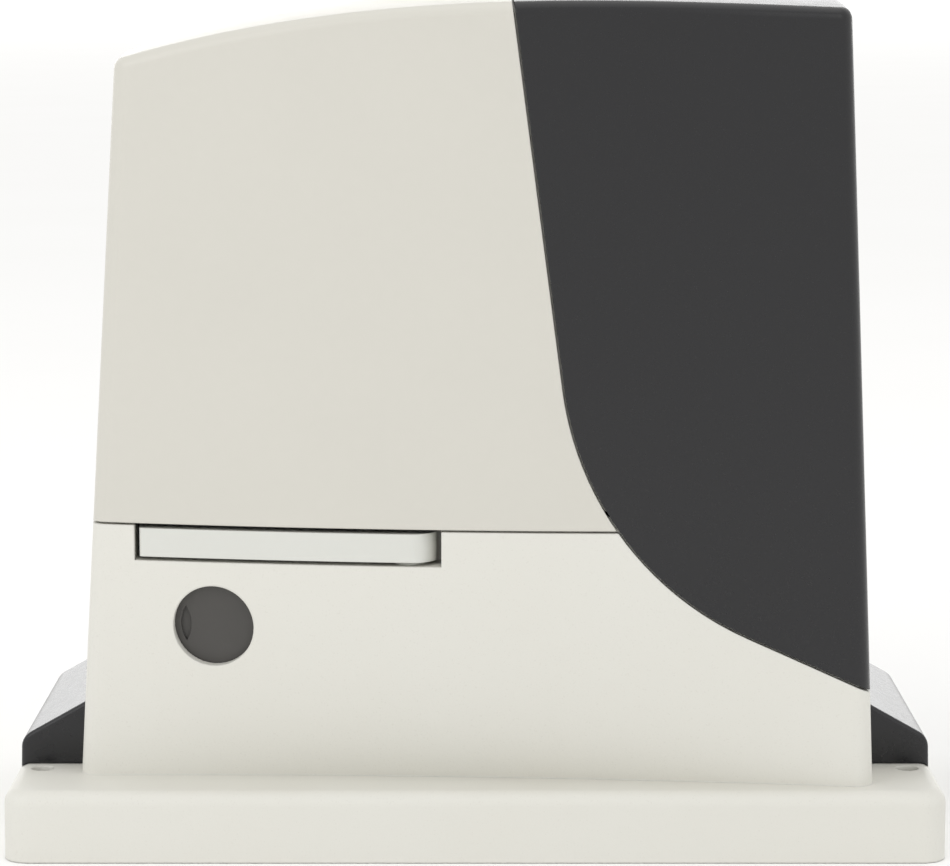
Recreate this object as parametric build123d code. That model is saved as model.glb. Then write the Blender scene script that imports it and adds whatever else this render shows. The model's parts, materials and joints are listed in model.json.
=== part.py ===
from build123d import *
import math
import os

# Sliding gate motor, in millimetres.
# X runs to the right of the front view, Y towards the gate behind the motor, Z up from the foundation.

# Overall envelope and flange
base_w = 330.0
front_y = -105.0
flange_d = 180.0
flange_h = 25.0
flange_corner_r = 9.0
flange_edge_r = 5.0
back_y = front_y + flange_d

# Housing form: plan outline at each level, leaning in towards the top
foot_left = 141.8
foot_right = 141.0
draft_left = 3.4
draft_right = 2.35
wall_back = 62.0
draft_back = 1.7
depth_left = 27.0
depth_right = 8.5
depth_mid_seam = 7.0
depth_mid_foot = 24.0
front_corner_r = 6.0
back_corner_r = 14.0
form_bottom = 18.0
scoop_h = 90.0

# Crowned top, as heights of its front edge from left to right
top_line = [(-150.0, 265.5), (-80.0, 286.2), (0.0, 296.2), (70.0, 296.8), (150.0, 293.2)]
top_crown = 5.75
top_back_drop = 1.0
top_edge_r = 4.0

# Walls, seams and overlaps
cover_wall = 3.0
base_wall = 4.0
seam_gap = 0.8
lip_clear = 0.5
lip_t = 2.0
lip_h = 5.0
floor_t = 6.0

# The sweeping seam between the light and the dark cover, and the level seam over the base
seam_z = 116.0
seam_corner = (38.9, 104.4)
seam_lean = 7.5
seam_tail = 24.5
seam_r = 112.0

# Drive: vertical motor and worm, horizontal output shaft along Y
shaft_z = 88.0
shaft_r = 10.0
gear_module = 2.25
wheel_teeth = 30
worm_pitch_r = 10.0
wheel_pitch_r = gear_module * wheel_teeth / 2
worm_x = -(wheel_pitch_r + worm_pitch_r)
wheel_y = 14.0
wheel_w = 18.0
gear_addendum = gear_module
gear_dedendum = 1.2 * gear_module
tooth_thin = 0.38
worm_turns = 6
shaft_front_y = -34.0
shaft_back_y = 105.0
groove_y = -8.5
run_clear = 0.05
soft_clear = 0.3

pinion_module = 4.0
pinion_teeth = 15
pinion_w = 28.0
pinion_y = 68.0
pressure_angle = 20.0

# Gear housing inside the base
case_wall = 6.0
case_front_y = -20.0
case_back_y = 30.5
case_r = wheel_pitch_r + gear_addendum + 3.0
case_top_z = 134.0
worm_bore_r = worm_pitch_r + gear_addendum + 2.5
gear_cover_t = 6.0

bearing_r = 23.5
bearing_w = 14.0
rear_bearing_y = 30.0
ring_split_r = 14.5
worm_low_z = 50.0
worm_end_r = 9.5
worm_end_w = 9.0
seal_r = 16.0
front_bearing_r = 21.0
front_bearing_w = 12.0
seal_w = 7.0
boss_back_y = 65.0

# Clutch and release
dog_h = 3.2
dog_r = 21.0
dog_span = 40.0
collar_r = 19.0
collar_groove_r = 14.0
collar_w = 13.0
groove_w = 5.0
fork_t = 4.4
key_w = 5.0
clutch_travel = 4.0
handle_left = -118.0
handle_right = -13.4
handle_low = 104.6
handle_high = 114.7
handle_t = 11.0
handle_gap = 1.7
handle_end_r = 9.5
recess_depth = 15.0
recess_wall = 3.0
journal_r = 5.4
crank_angle = 112.5
crank_r = clutch_travel / (math.sin(math.radians(crank_angle)) - math.sin(math.radians(crank_angle + 90)))
crank_pin_r = 1.3
shift_bar_x = -34.0
shift_bar_w = 6.0
shift_bar_z = 90.0
shift_bar_h = 5.0
yoke_reach = 3.0

# Key lock and its sliding shutter
lock_x = -92.1
lock_z = 80.3
lock_hole_r = 14.4
shutter_r = 16.6
shutter_t = 2.5
shutter_travel = 27.0
lock_seat_w = -3.5
lock_core_r = 6.0

# Motor
motor_r = 36.0
motor_can_z = 144.0
motor_can_h = 84.0
can_wall = 2.0
magnet_t = 5.0
rotor_r = 27.0
rotor_h = 50.0
rotor_low_z = motor_can_z + 13.0
winding_h = 7.0
commutator_h = 8.5
motor_shaft_r = 5.0
motor_bearing_r = 13.0
motor_bearing_w = 8.0
commutator_r = 15.0
bolt_out = 41.0

# Limit switch at the back, above the pinion
switch_w = 32.0
switch_z = case_top_z
switch_top_z = 172.0
switch_back_y = 66.0
switch_front_y = 40.0
whisker_z = 160.0
whisker_r = 1.5
whisker_len = 34.0
whisker_ball_r = 5.0
whisker_pivot_y = switch_back_y - 3.5

# Fasteners, and the screws that hold the covers to slotted tabs on the base
screw_r = 2.0
screw_head_r = 3.8
screw_head_h = 2.4
cover_screw_z = 124.0
cover_screw_xs = (-112.0, -72.0)
cover_screw_len = 9.0
lid_screw_y = -20.0
lid_screw_z = 72.0
tab_t = 4.5

# Board on its carrier, and the transformer, both standing on the base floor
carrier_left = 44.0
carrier_right = 120.0
carrier_low = 104.0
carrier_high = 250.0
carrier_back_y = -52.0
carrier_t = 3.0
board_gap = 5.0
board_t = 1.6
leg_w = 12.0
trafo_x = 97.5
trafo_y = 3.0
trafo_z = 12.0
trafo_len = 66.0
trafo_h = 55.0
trafo_stack = 35.0
trafo_strap_t = 1.5

# Bolt covers, anchor slots and levelling screws on the flange ears
ear_slot_x = 151.5
slot_front_y = -36.0
slot_back_y = 26.0
slot_r = 4.5
slot_len = 22.0
cap_front_y = -60.0
cap_back_y = 50.0
cap_wall = 2.5
cap_out_x = 163.4
cap_shoulder_z = 36.3
cap_top_z = 46.5
level_x = 155.0
level_front_y = -67.0
level_back_y = 62.0
level_r = 4.0
level_len = 20.0
cable_x = -100.0
cable_y = 12.0
cable_r = 12.0


def cyl_y(r, y0, y1, x=0.0, z=shaft_z):
    """A round bar along Y from y0 to y1."""
    return Pos(x, (y0 + y1) / 2, z) * Rot(90, 0, 0) * Cylinder(r, abs(y1 - y0))


def cyl_z(r, z0, z1, x, y):
    """A round bar along Z from z0 to z1."""
    return Pos(x, y, (z0 + z1) / 2) * Cylinder(r, abs(z1 - z0))


def block(x0, x1, y0, y1, z0, z1):
    """A box between two corners."""
    return Pos((x0 + x1) / 2, (y0 + y1) / 2, (z0 + z1) / 2) * Box(x1 - x0, y1 - y0, z1 - z0)


def lean(z):
    """Share of the lower front scoop left at height z: 0 at the level seam, growing towards the flange."""
    return ((seam_z - z) / scoop_h) ** 2 if z < seam_z else 0.0


def side_x(z, inset=0.0):
    """Left and right wall positions at height z."""
    left = -foot_left + z * math.tan(math.radians(draft_left)) + inset
    right = foot_right - z * math.tan(math.radians(draft_right)) - inset
    return left, right


def back_at(z, inset=0.0):
    """Back wall position at height z."""
    return wall_back - z * math.tan(math.radians(draft_back)) - inset


def front_points(z, inset=0.0):
    """Left, middle and right points of the front wall's plan arc at height z."""
    left, right = side_x(z, inset)
    mid = depth_mid_seam + lean(z) * (depth_mid_foot - depth_mid_seam)
    y_left = front_y + depth_left + inset
    y_right = front_y + depth_right + inset
    return (left, y_left), ((left + right) / 2, front_y + mid + inset), (right, y_right)


def front_arc(z, inset=0.0):
    """The front wall's plan arc as centre x, centre y and radius."""
    (x1, y1), (x2, y2), (x3, y3) = front_points(z, inset)
    d = 2 * (x1 * (y2 - y3) + x2 * (y3 - y1) + x3 * (y1 - y2))
    s1, s2, s3 = x1 * x1 + y1 * y1, x2 * x2 + y2 * y2, x3 * x3 + y3 * y3
    cx = (s1 * (y2 - y3) + s2 * (y3 - y1) + s3 * (y1 - y2)) / d
    cy = (s1 * (x3 - x2) + s2 * (x1 - x3) + s3 * (x2 - x1)) / d
    return cx, cy, math.hypot(x1 - cx, y1 - cy)


def front_at(x, z, inset=0.0):
    """Front wall position at x and height z, at or above the level where the arc bulges out."""
    cx, cy, r = front_arc(z, inset)
    return cy - math.sqrt(r * r - (x - cx) ** 2)


def plan_face(z, inset):
    """The housing's closed outline at height z, drawn in from the outer skin by inset."""
    p1, p2, p3 = front_points(z, inset)
    y_back = back_at(z, inset)
    with BuildSketch(Plane.XY.offset(z)) as sk:
        with BuildLine():
            ThreePointArc(p1, p2, p3)
            Line(p3, (p3[0], y_back))
            Line((p3[0], y_back), (p1[0], y_back))
            Line((p1[0], y_back), p1)
        make_face()
        corners = sk.vertices().sort_by(Axis.Y)
        fillet(corners[-2:], max(back_corner_r - inset, 1.5))
        corners = [v for v in sk.vertices() if v.Y < front_y + depth_left + inset + 1]
        fillet(corners, max(front_corner_r - inset, 0.8))
    return sk.sketch.faces()[0]


def crowned_block(drop):
    """Everything under the crowned top, lowered by drop."""
    sections = []
    y_far = wall_back + 15
    for y, rise in [(front_y - 5, 0.0), ((front_y + y_far) / 2, top_crown), (y_far, -top_back_drop)]:
        pts = [(x, z + rise - drop) for x, z in top_line]
        with BuildSketch(Plane.XZ.offset(-y)) as sk:
            with BuildLine():
                Spline(pts)
                Polyline(pts[-1], (pts[-1][0], 0), (pts[0][0], 0), pts[0])
            make_face()
        sections.append(sk.sketch.faces()[0])
    return loft(sections)


def form(inset):
    """The whole housing as a solid, drawn in by inset on every side and the top."""
    levels = [form_bottom, 70.0, seam_z, 210.0, 315.0]
    body = loft([plan_face(z, inset) for z in levels])
    return body & crowned_block(inset)


def seam_curve(shift):
    """The sweeping seam, moved square to itself towards the light side by shift."""
    a = math.radians(seam_lean)
    b = math.radians(seam_tail)
    cx, cz = seam_corner
    # both straight runs move out by shift, so their corner moves along the bisector
    n1 = (-math.cos(a), -math.sin(a))
    n2 = (-math.sin(b), -math.cos(b))
    k = shift / (1 + n1[0] * n2[0] + n1[1] * n2[1])
    cx += k * (n1[0] + n2[0])
    cz += k * (n1[1] + n2[1])
    reach = 240.0
    top = (cx - reach * math.sin(a), cz + reach * math.cos(a))
    end = (cx + reach * math.cos(b), cz - reach * math.sin(b))
    return top, (cx, cz), end, seam_r + shift


def xz_prism(sk):
    """Runs an XZ sketch right through the housing, front to back."""
    return extrude(sk, 150, both=True)


def dark_zone(shift):
    """The dark cover's side of the sweeping seam, grown by shift."""
    top, corner, end, radius = seam_curve(shift)
    far = 320.0
    with BuildSketch(Plane.XZ) as sk:
        with BuildLine():
            FilletPolyline(top, corner, end, radius=radius)
            Polyline(end, (end[0], far), (top[0], far), top)
        make_face()
    return xz_prism(sk.sketch)


def above(z):
    return block(-200, 200, -150, 150, z, 360)


def below(z):
    return block(-200, 200, -150, 150, -10, z)


def biggest(shape):
    """Only the largest solid of a cut, so that no loose sliver is left."""
    return max(shape.solids(), key=lambda s: s.volume)


def light_cover(outer, inner):
    """Left cover with the ledge that backs the lid's edge along the sweeping seam."""
    zone = above(seam_z + seam_gap / 2) - dark_zone(seam_gap)
    shell = (outer & zone) - inner
    ledge_low = above(seam_z + seam_gap / 2 + lip_h + 1.5)
    ledge_zone = (dark_zone(seam_gap + lip_h + 1) - dark_zone(-lip_h)) & ledge_low
    ledge_form = form(cover_wall + lip_clear)
    ledge = (ledge_form & ledge_zone) - form(cover_wall + lip_clear + lip_t)
    tie_zone = (dark_zone(seam_gap + lip_h + 1) - dark_zone(seam_gap)) & ledge_low
    tie = (form(cover_wall - 0.5) & tie_zone) - ledge_form
    # the limit switch stands in a notch in the back wall that is open at the bottom
    notch = block(-switch_w / 2 - 0.6, switch_w / 2 + 0.6, 30, 90, 100, switch_top_z + 0.6)
    cover = shell + ledge + tie - notch
    for x in cover_screw_xs:
        cover -= cyl_y(screw_r + soft_clear, 30, 90, x, cover_screw_z)
        cover -= cyl_y(screw_head_r + soft_clear, screw_seat_y(), 90, x, cover_screw_z)
    return biggest(cover)


def lid(outer, inner):
    """Right cover, down to the seam that sweeps across the base."""
    shell = (outer & dark_zone(0.0)) - inner
    hole = lid_screw_bar(screw_r + soft_clear, -20, 20) + lid_screw_bar(screw_head_r + soft_clear, 0, 20)
    return biggest(shell - hole)


def screw_seat_y():
    """Where the heads of the light cover's screws seat, just under the back wall's skin."""
    return back_at(cover_screw_z) - 1.2


def lid_screw_bar(r, x0, x1):
    """A round bar along X at the lid's screw, from x0 to x1 counted from the head's seat."""
    seat = side_x(lid_screw_z)[1] - 1.2
    return Pos(seat + (x0 + x1) / 2, lid_screw_y, lid_screw_z) * Rot(0, 90, 0) * Cylinder(r, x1 - x0)


def flange():
    """Flange slab with rounded corners and a rounded top edge, hollow under both ears."""
    slab = block(-base_w / 2, base_w / 2, front_y, back_y, 0, flange_h)
    slab = fillet(slab.edges().filter_by(Axis.Z), flange_corner_r)
    return fillet(slab.faces().sort_by(Axis.Z)[-1].edges(), flange_edge_r)


def ear_slot(side, y, half_w, z0, z1, length):
    """A slot along Y through one ear."""
    slot = Pos(side * ear_slot_x, y, (z0 + z1) / 2) * Rot(0, 0, 90)
    return slot * extrude(SlotOverall(length, 2 * half_w), (z1 - z0) / 2, both=True)


def base_casting(outer):
    """Cast base: flange, walls up to the seams, gear case, recesses and bosses in one casting."""
    covers = dark_zone(seam_gap) + above(seam_z - seam_gap / 2)
    wall_in = form(base_wall)
    case_clear = form(cover_wall + lip_clear)
    walls = (outer & above(flange_h - 6)) - covers - wall_in
    lip_out = dark_zone(-lip_h) + above(seam_z + lip_h)
    lip_in = dark_zone(seam_gap + lip_h) + above(seam_z - lip_h)
    lip = (case_clear & (lip_in - lip_out)) - form(cover_wall + lip_clear + lip_t)
    room = wall_in & block(-200, 200, -150, 150, floor_t, 200)
    room_foot = extrude(plan_face(form_bottom, base_wall), floor_t - form_bottom)
    case = gear_case() & case_clear
    pocket = (outer & block(handle_left - 8, handle_right + 7, -150, 20, handle_low - 5, seam_z - 0.5))
    pocket -= form(recess_depth + recess_wall)
    base = flange() - room - room_foot
    base = base + walls + lip + (pocket - covers) + case
    base -= handle_recess(outer)
    base -= gear_case_bores()
    base -= lock_hole()
    for side in (-1, 1):
        for y in (slot_front_y, slot_back_y):
            base -= ear_slot(side, y, slot_r, -1, flange_h + 1, slot_len)
        for y in (level_front_y, level_back_y):
            base -= cyl_z(level_r, -1, flange_h + 1, side * level_x, y)
        base -= ear_hollow(side)
    base -= cyl_z(cable_r + 4.0, -1, floor_t + 1, cable_x, cable_y)
    base += floor_bosses()
    base -= shift_window()
    base += screw_tabs() & form(cover_wall + lip_clear)
    base -= screw_tab_slots()
    return biggest(base)


def ear_hollow(side):
    """Pockets cast into an ear from below, between the slots and the levelling screws."""
    x0 = side * (ear_slot_x - 7.5)
    x1 = side * (base_w / 2 - 5.0)
    hollow = block(min(x0, x1), max(x0, x1), -18, 8, -1, flange_h - 7)
    return hollow + block(min(x0, x1), max(x0, x1), front_y + 8, level_front_y - 8, -1, flange_h - 8)


def gear_case():
    """Cast case round the wheel and the worm, with the boss that carries the rear bearing and the seal."""
    barrel = cyl_y(case_r + case_wall, case_front_y, case_back_y)
    tower = cyl_z(worm_bore_r + case_wall + 3, floor_t - 1, case_top_z, worm_x, wheel_y)
    throat = block(worm_x - 8, 0, case_front_y, case_back_y, shaft_z - 34, shaft_z + 34)
    boss = cyl_y(bearing_r + 6, case_back_y - 1, boss_back_y)
    feet = block(-30, 30, case_front_y, case_back_y, floor_t - 1, shaft_z - 30)
    motor_pad = cyl_z(motor_r + 2, case_top_z - 8, case_top_z, worm_x, wheel_y)
    stand = block(-switch_w / 2, switch_w / 2, case_back_y - 1, switch_back_y - 7, shaft_z + 20, switch_z)
    web = block(-4, 4, case_back_y - 1, boss_back_y - 9, floor_t - 1, shaft_z)
    return barrel + tower + throat + boss + feet + motor_pad + stand + web


def case_hollow():
    """The oil room inside the gear case."""
    wheel_room = cyl_y(case_r, case_front_y - 1, case_back_y - case_wall)
    worm_room = cyl_z(worm_bore_r, worm_low_z, case_top_z - 14, worm_x, wheel_y)
    return wheel_room + worm_room


def gear_case_bores():
    """Bores and seats: oil room, bearings, seal, shaft, worm bearings and cover screws."""
    cut = case_hollow()
    cut += cyl_y(bearing_r, case_back_y - case_wall - 1, rear_bearing_y + bearing_w)
    cut += cyl_y(shaft_r + 4, rear_bearing_y + bearing_w - 1, boss_back_y - seal_w + 1)
    cut += cyl_y(seal_r, boss_back_y - seal_w, boss_back_y + 20)
    cut += cyl_z(motor_bearing_r, case_top_z - 15, case_top_z + 1, worm_x, wheel_y)
    cut += cyl_z(worm_end_r, worm_low_z - worm_end_w, worm_low_z + 1, worm_x, wheel_y)
    for x, z in gear_cover_screw_places():
        cut += cyl_y(screw_r + run_clear, case_front_y - 1, case_front_y + 9, x, z)
    return cut


def gear_cover_screw_places():
    """Six screw places on the gear cover's rim, clear of the worm's side."""
    ring = case_r + case_wall / 2
    angles = (-100, -55, -10, 35, 80, 125)
    return [(ring * math.cos(math.radians(a)), shaft_z + ring * math.sin(math.radians(a))) for a in angles]


def handle_recess(outer):
    """Recess for the release handle, open at the top, with the journal bore of its pivot."""
    recess = block(handle_left - handle_gap, handle_right + handle_gap, -150, 20, handle_low - 1.4, seam_z + 12)
    recess -= form(recess_depth)
    x, y = handle_pivot()
    recess += cyl_z(handle_end_r + 0.5, handle_low - 1.4, seam_z + 12, x, y) & block(x, x + 20, -150, 20, 0, 200)
    recess += cyl_z(journal_r + 1.5, handle_low - 1.4, seam_z + 12, x, y)
    return recess + cyl_z(journal_r + run_clear, handle_low - 8, handle_low + 1, x, y)


def handle_pivot():
    """Pivot place of the release handle, one end radius behind the outer skin."""
    x = handle_right - handle_end_r
    return x, front_at(x, seam_z) + handle_end_r


def lock_plane():
    """Plane that touches the wall between the shutter's two ends of travel, its normal pointing out."""
    x = lock_x + shutter_travel / 2
    across = (front_at(x + 1, lock_z) - front_at(x - 1, lock_z)) / 2
    up = (front_at(x, lock_z + 1) - front_at(x, lock_z - 1)) / 2
    return Plane(origin=(x, front_at(x, lock_z), lock_z), x_dir=(1, across, 0), z_dir=(across, -1, up))


def lock_at(shape):
    """Places a piece drawn about the lock's centre, x along the wall and z out of the front."""
    return lock_plane() * Pos(-shutter_travel / 2, 0, 0) * shape


def lock_hole():
    """Round opening in front of the shutter, and a flat seat for the lock's housing behind the wall."""
    seat = lock_seat_w + soft_clear
    room = Pos(shutter_travel / 2, 0, seat - 15) * Box(2 * lock_half_u() + 1.2, 2 * lock_half_v() + 1.2, 30)
    return lock_at(Cylinder(lock_hole_r, 14) + room)


def lock_half_u():
    """Half the lock housing's width along the wall."""
    return shutter_travel / 2 + shutter_r + 3.0


def lock_half_v():
    """Half the lock housing's height."""
    return shutter_r + 2.4


def floor_bosses():
    """Bosses on the base floor under the board carrier's legs and the transformer's feet."""
    bosses = []
    for x in (carrier_left + leg_w / 2, carrier_right - leg_w / 2):
        bosses.append(block(x - 8, x + 8, carrier_back_y - 7, carrier_back_y + 4, floor_t - 1, floor_t + 4))
    for y in trafo_foot_ys():
        bosses.append(block(trafo_x - 10, trafo_x + 10, y - 5, y + 5, floor_t - 1, trafo_z))
    bosses.append(cyl_z(cable_r + 9, floor_t - 1, floor_t + 3, cable_x, cable_y)
                  - cyl_z(cable_r + 4, floor_t - 2, floor_t + 4, cable_x, cable_y))
    return Part() + bosses


def shift_window():
    """Room in the casting for the shift bar, and behind the front wall for the travel of its yoke."""
    half = shift_bar_w / 2 + 1
    z0, z1 = shift_bar_z - 1, shift_bar_z + shift_bar_h + 1
    window = block(shift_bar_x - half, shift_bar_x + half, case_front_y - 2, wheel_y - wheel_w / 2 - 8, z0, z1)
    x, y = handle_pivot()
    front = crank_pin_y() - yoke_reach - clutch_travel - 0.6
    return window + block(shift_bar_x - half, x + 5, front, y + 10, z0, z1)


def crank_pin_y():
    """Place of the handle's crank pin along Y, with the handle closed."""
    return handle_pivot()[1] + crank_r * math.sin(math.radians(crank_angle))


def screw_tabs():
    """Tabs behind the covers' screws, each with a slot that is open at the top."""
    tabs = []
    y = back_at(cover_screw_z, cover_wall)
    for x in cover_screw_xs:
        tabs.append(block(x - 7, x + 7, y - tab_t, y + 5, seam_z - 12, cover_screw_z + 5))
    x = side_x(lid_screw_z, cover_wall)[1]
    tabs.append(block(x - tab_t, x + 5, lid_screw_y - 7, lid_screw_y + 7, lid_screw_z - 24, lid_screw_z + 5))
    return Part() + tabs


def screw_tab_slots():
    """The open slots in the tabs."""
    slots = []
    r = screw_r + soft_clear
    for x in cover_screw_xs:
        slots.append(cyl_y(r, 30, 57, x, cover_screw_z))
        slots.append(block(x - r, x + r, 40, 57, cover_screw_z, cover_screw_z + 10))
    slots.append(lid_screw_bar(r, -20, 2))
    x = side_x(lid_screw_z)[1]
    slots.append(block(x - 15, x, lid_screw_y - r, lid_screw_y + r, lid_screw_z, lid_screw_z + 10))
    return Part() + slots


def cover_screws():
    """Screws of the light cover, with flat driver slots."""
    screws = []
    seat = screw_seat_y()
    for x in cover_screw_xs:
        screw = cyl_y(screw_r, seat - cover_screw_len, seat + 1, x, cover_screw_z)
        screw += cyl_y(screw_head_r, seat, seat + screw_head_h, x, cover_screw_z)
        cross = Pos(x, seat + screw_head_h, cover_screw_z)
        screw -= cross * (Box(4.4, 2.4, 1.0) + Box(1.0, 2.4, 4.4))
        screws.append(screw)
    return Part() + screws


def lid_screw():
    """The lid's side screw."""
    screw = lid_screw_bar(screw_r, -12, 1) + lid_screw_bar(screw_head_r, 0, screw_head_h)
    seat = side_x(lid_screw_z)[1] - 1.2 + screw_head_h
    return screw - Pos(seat, lid_screw_y, lid_screw_z) * (Box(2.4, 4.4, 1.0) + Box(2.4, 1.0, 4.4))


def involute_face(module, teeth, addendum, dedendum, thin):
    """Spur gear outline with involute flanks, each tooth thinner by thin at the pitch circle."""
    alpha = math.radians(pressure_angle)
    pitch = module * teeth / 2
    base = pitch * math.cos(alpha)
    tip = pitch + addendum
    root = pitch - dedendum
    half = (math.pi * module / 2 - thin) / (2 * pitch) + math.tan(alpha) - alpha
    start = max(base, root)
    flank = []
    for i in range(5):
        r = start + (tip - start) * i / 4
        roll = math.acos(min(1.0, base / r))
        flank.append((r, half - math.tan(roll) + roll))

    def at(r, angle):
        return r * math.cos(angle), r * math.sin(angle)

    step = 2 * math.pi / teeth
    with BuildSketch() as sk:
        with BuildLine():
            for n in range(teeth):
                a = n * step
                rising = [at(r, a - t) for r, t in flank]
                falling = [at(r, a + t) for r, t in reversed(flank)]
                if root < start:
                    Line(at(root, a - flank[0][1]), rising[0])
                    Line(falling[-1], at(root, a + flank[0][1]))
                Spline(rising)
                ThreePointArc(rising[-1], at(tip, a), falling[0])
                Spline(falling)
                ThreePointArc(at(min(root, start), a + flank[0][1]), at(min(root, start), a + step / 2),
                              at(min(root, start), a + step - flank[0][1]))
        make_face()
    return sk.sketch.faces()[0]


def lugs(y0, y1, first):
    """Four clutch lugs between the hub and dog_r, the first one centred at angle first."""
    out = []
    for n in range(4):
        a0 = math.radians(first + 90 * n - dog_span / 2)
        a1 = math.radians(first + 90 * n + dog_span / 2)
        am = (a0 + a1) / 2
        r0 = shaft_r + 3
        p = [(r * math.cos(a), shaft_z + r * math.sin(a)) for r, a in
             ((r0, a0), (r0, am), (r0, a1), (dog_r, a1), (dog_r, am), (dog_r, a0))]
        with BuildSketch(Plane.XZ.offset(-y1)) as sk:
            with BuildLine():
                ThreePointArc(p[0], p[1], p[2])
                Line(p[2], p[3])
                ThreePointArc(p[3], p[4], p[5])
                Line(p[5], p[0])
            make_face()
        out.append(extrude(sk.sketch, y1 - y0))
    return Part() + out


def worm_wheel():
    """Wheel with slanted teeth, a web, a hub and the clutch lugs on its front."""
    lead_angle = math.atan(gear_module / 2 / worm_pitch_r)
    twist = math.degrees(wheel_w * math.tan(lead_angle) / wheel_pitch_r)
    face = involute_face(gear_module, wheel_teeth, gear_addendum, gear_dedendum, tooth_thin)
    half_tooth = 180.0 / wheel_teeth
    face = Rot(0, 0, half_tooth - twist / 2) * face
    gear = Solid.extrude_linear_with_rotation(face, (0, 0, 0), (0, 0, wheel_w), twist)
    gear = Pos(0, wheel_y - wheel_w / 2, shaft_z) * Rot(-90, 0, 0) * gear
    web = cyl_y(wheel_pitch_r - 6, wheel_y + 2, wheel_y + wheel_w / 2 + 1) - cyl_y(17, -50, 60)
    front = wheel_y - wheel_w / 2
    wheel = Part() + gear - web - cyl_y(shaft_r + run_clear, -50, 60)
    return wheel + lugs(front - dog_h, front + 0.5, 45)


def clutch_collar():
    """Collar that slides on the shaft's key, with a groove for the fork and lugs at its back."""
    back = wheel_y - wheel_w / 2 - dog_h - soft_clear
    collar = cyl_y(collar_r, back - collar_w, back)
    groove = cyl_y(collar_r + 1, groove_y, groove_y + groove_w) - cyl_y(collar_groove_r, -60, 60)
    collar = collar - groove - cyl_y(shaft_r + run_clear, -60, 60)
    collar += lugs(back - 0.5, back + dog_h, 0) & cyl_y(dog_r, -60, 60)
    keyway = block(-key_w / 2 - 0.1, key_w / 2 + 0.1, -60, 60, shaft_z, shaft_z + shaft_r + 2.8)
    return collar - keyway


def output_shaft():
    """Output shaft with its two keyseats, a circlip groove and chamfered ends."""
    shaft = cyl_y(shaft_r, shaft_front_y, shaft_back_y)
    shaft = chamfer(shaft.edges().filter_by(GeomType.CIRCLE), 1.0)
    shaft -= clutch_key() + pinion_key()
    groove = cyl_y(shaft_r + 1, pinion_y + pinion_w + 2.2, pinion_y + pinion_w + 3.7)
    return shaft - (groove - cyl_y(shaft_r - 1, 0, 120))


def clutch_key():
    """Feather key under the collar."""
    y1 = wheel_y - wheel_w / 2 - dog_h - 1
    return block(-key_w / 2, key_w / 2, case_front_y + 1.5, y1, shaft_z + shaft_r - 3, shaft_z + shaft_r + 2.5)


def pinion_key():
    """Key under the pinion."""
    return block(-key_w / 2, key_w / 2, pinion_y + 3, pinion_y + pinion_w - 3,
                 shaft_z + shaft_r - 3, shaft_z + shaft_r + 2.5)


def output_pinion():
    """Module 4 rack pinion with a hub towards the wall, chamfered tips and a keyway."""
    face = involute_face(pinion_module, pinion_teeth, pinion_module, 1.2 * pinion_module, 0.2)
    face = Rot(0, 0, 90) * face
    gear = Pos(0, pinion_y, shaft_z) * Rot(-90, 0, 0) * extrude(face, pinion_w)
    tip_r = pinion_module * (pinion_teeth / 2 + 1)
    trim = Pos(0, pinion_y + pinion_w / 2, shaft_z) * Rot(90, 0, 0) * Cylinder(tip_r, pinion_w)
    gear &= chamfer(trim.edges().filter_by(GeomType.CIRCLE), 1.2)
    gear += cyl_y(17, boss_back_y + 0.8, pinion_y + 0.5)
    gear -= cyl_y(shaft_r, 0, 120)
    return gear - block(-key_w / 2, key_w / 2, 0, 120, shaft_z, shaft_z + shaft_r + 2.5)


def pinion_washer():
    """Plain washer between the pinion and the circlip."""
    y0 = pinion_y + pinion_w
    return cyl_y(16, y0, y0 + 2) - cyl_y(shaft_r, 0, 120)


def pinion_circlip():
    """Open ring in the shaft's groove."""
    y0 = pinion_y + pinion_w + 2.3
    ring = cyl_y(shaft_r + 2.5, y0, y0 + 1.2) - cyl_y(shaft_r - 0.9, 0, 120)
    ring -= block(-4, 4, 0, 120, shaft_z - 20, shaft_z)
    for x in (-5.5, 5.5):
        ring += cyl_y(2.4, y0, y0 + 1.2, x, shaft_z - shaft_r - 1.2) - cyl_y(1.0, 0, 120, x, shaft_z - shaft_r - 1.2)
    return ring


def ring_y(r_out, r_in, y0, y1):
    """Bearing ring along Y with a shallow turned step on both faces."""
    ring = cyl_y(r_out, y0, y1) - cyl_y(r_in, y0 - 1, y1 + 1)
    mid = (r_out + r_in) / 2
    step = cyl_y(mid, y0 - 1, y0 + 0.6) + cyl_y(mid, y1 - 0.6, y1 + 1)
    if r_in < ring_split_r - 1:
        return ring
    return ring - (step - cyl_y(r_in + 1.2, y0 - 2, y1 + 2))


def shaft_bearing_outers():
    """Outer rings with their shields."""
    split = ring_split_r + run_clear
    return (ring_y(bearing_r, split, rear_bearing_y, rear_bearing_y + bearing_w)
            + ring_y(front_bearing_r, split, case_front_y - front_bearing_w, case_front_y))


def shaft_bearing_inners():
    """Inner rings on the shaft, with the sleeve that keeps the wheel in its place."""
    back = ring_y(ring_split_r, shaft_r, rear_bearing_y, rear_bearing_y + bearing_w)
    front = ring_y(ring_split_r, shaft_r, case_front_y - front_bearing_w, case_front_y)
    return back + front


def spacer_sleeve():
    """Sleeve on the shaft between the wheel and the rear bearing."""
    y0 = wheel_y + wheel_w / 2 + soft_clear
    return cyl_y(shaft_r + 3, y0, rear_bearing_y) - cyl_y(shaft_r, 0, 120)


def shaft_seal():
    """Lip seal in the boss, with its dust lip just clear of the shaft."""
    y0 = boss_back_y - seal_w
    body = cyl_y(seal_r, y0, boss_back_y) - cyl_y(shaft_r + run_clear, 0, 120)
    return body - (cyl_y(seal_r - 2, boss_back_y - 1.5, 120) - cyl_y(shaft_r + 2, 0, 120))


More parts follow.
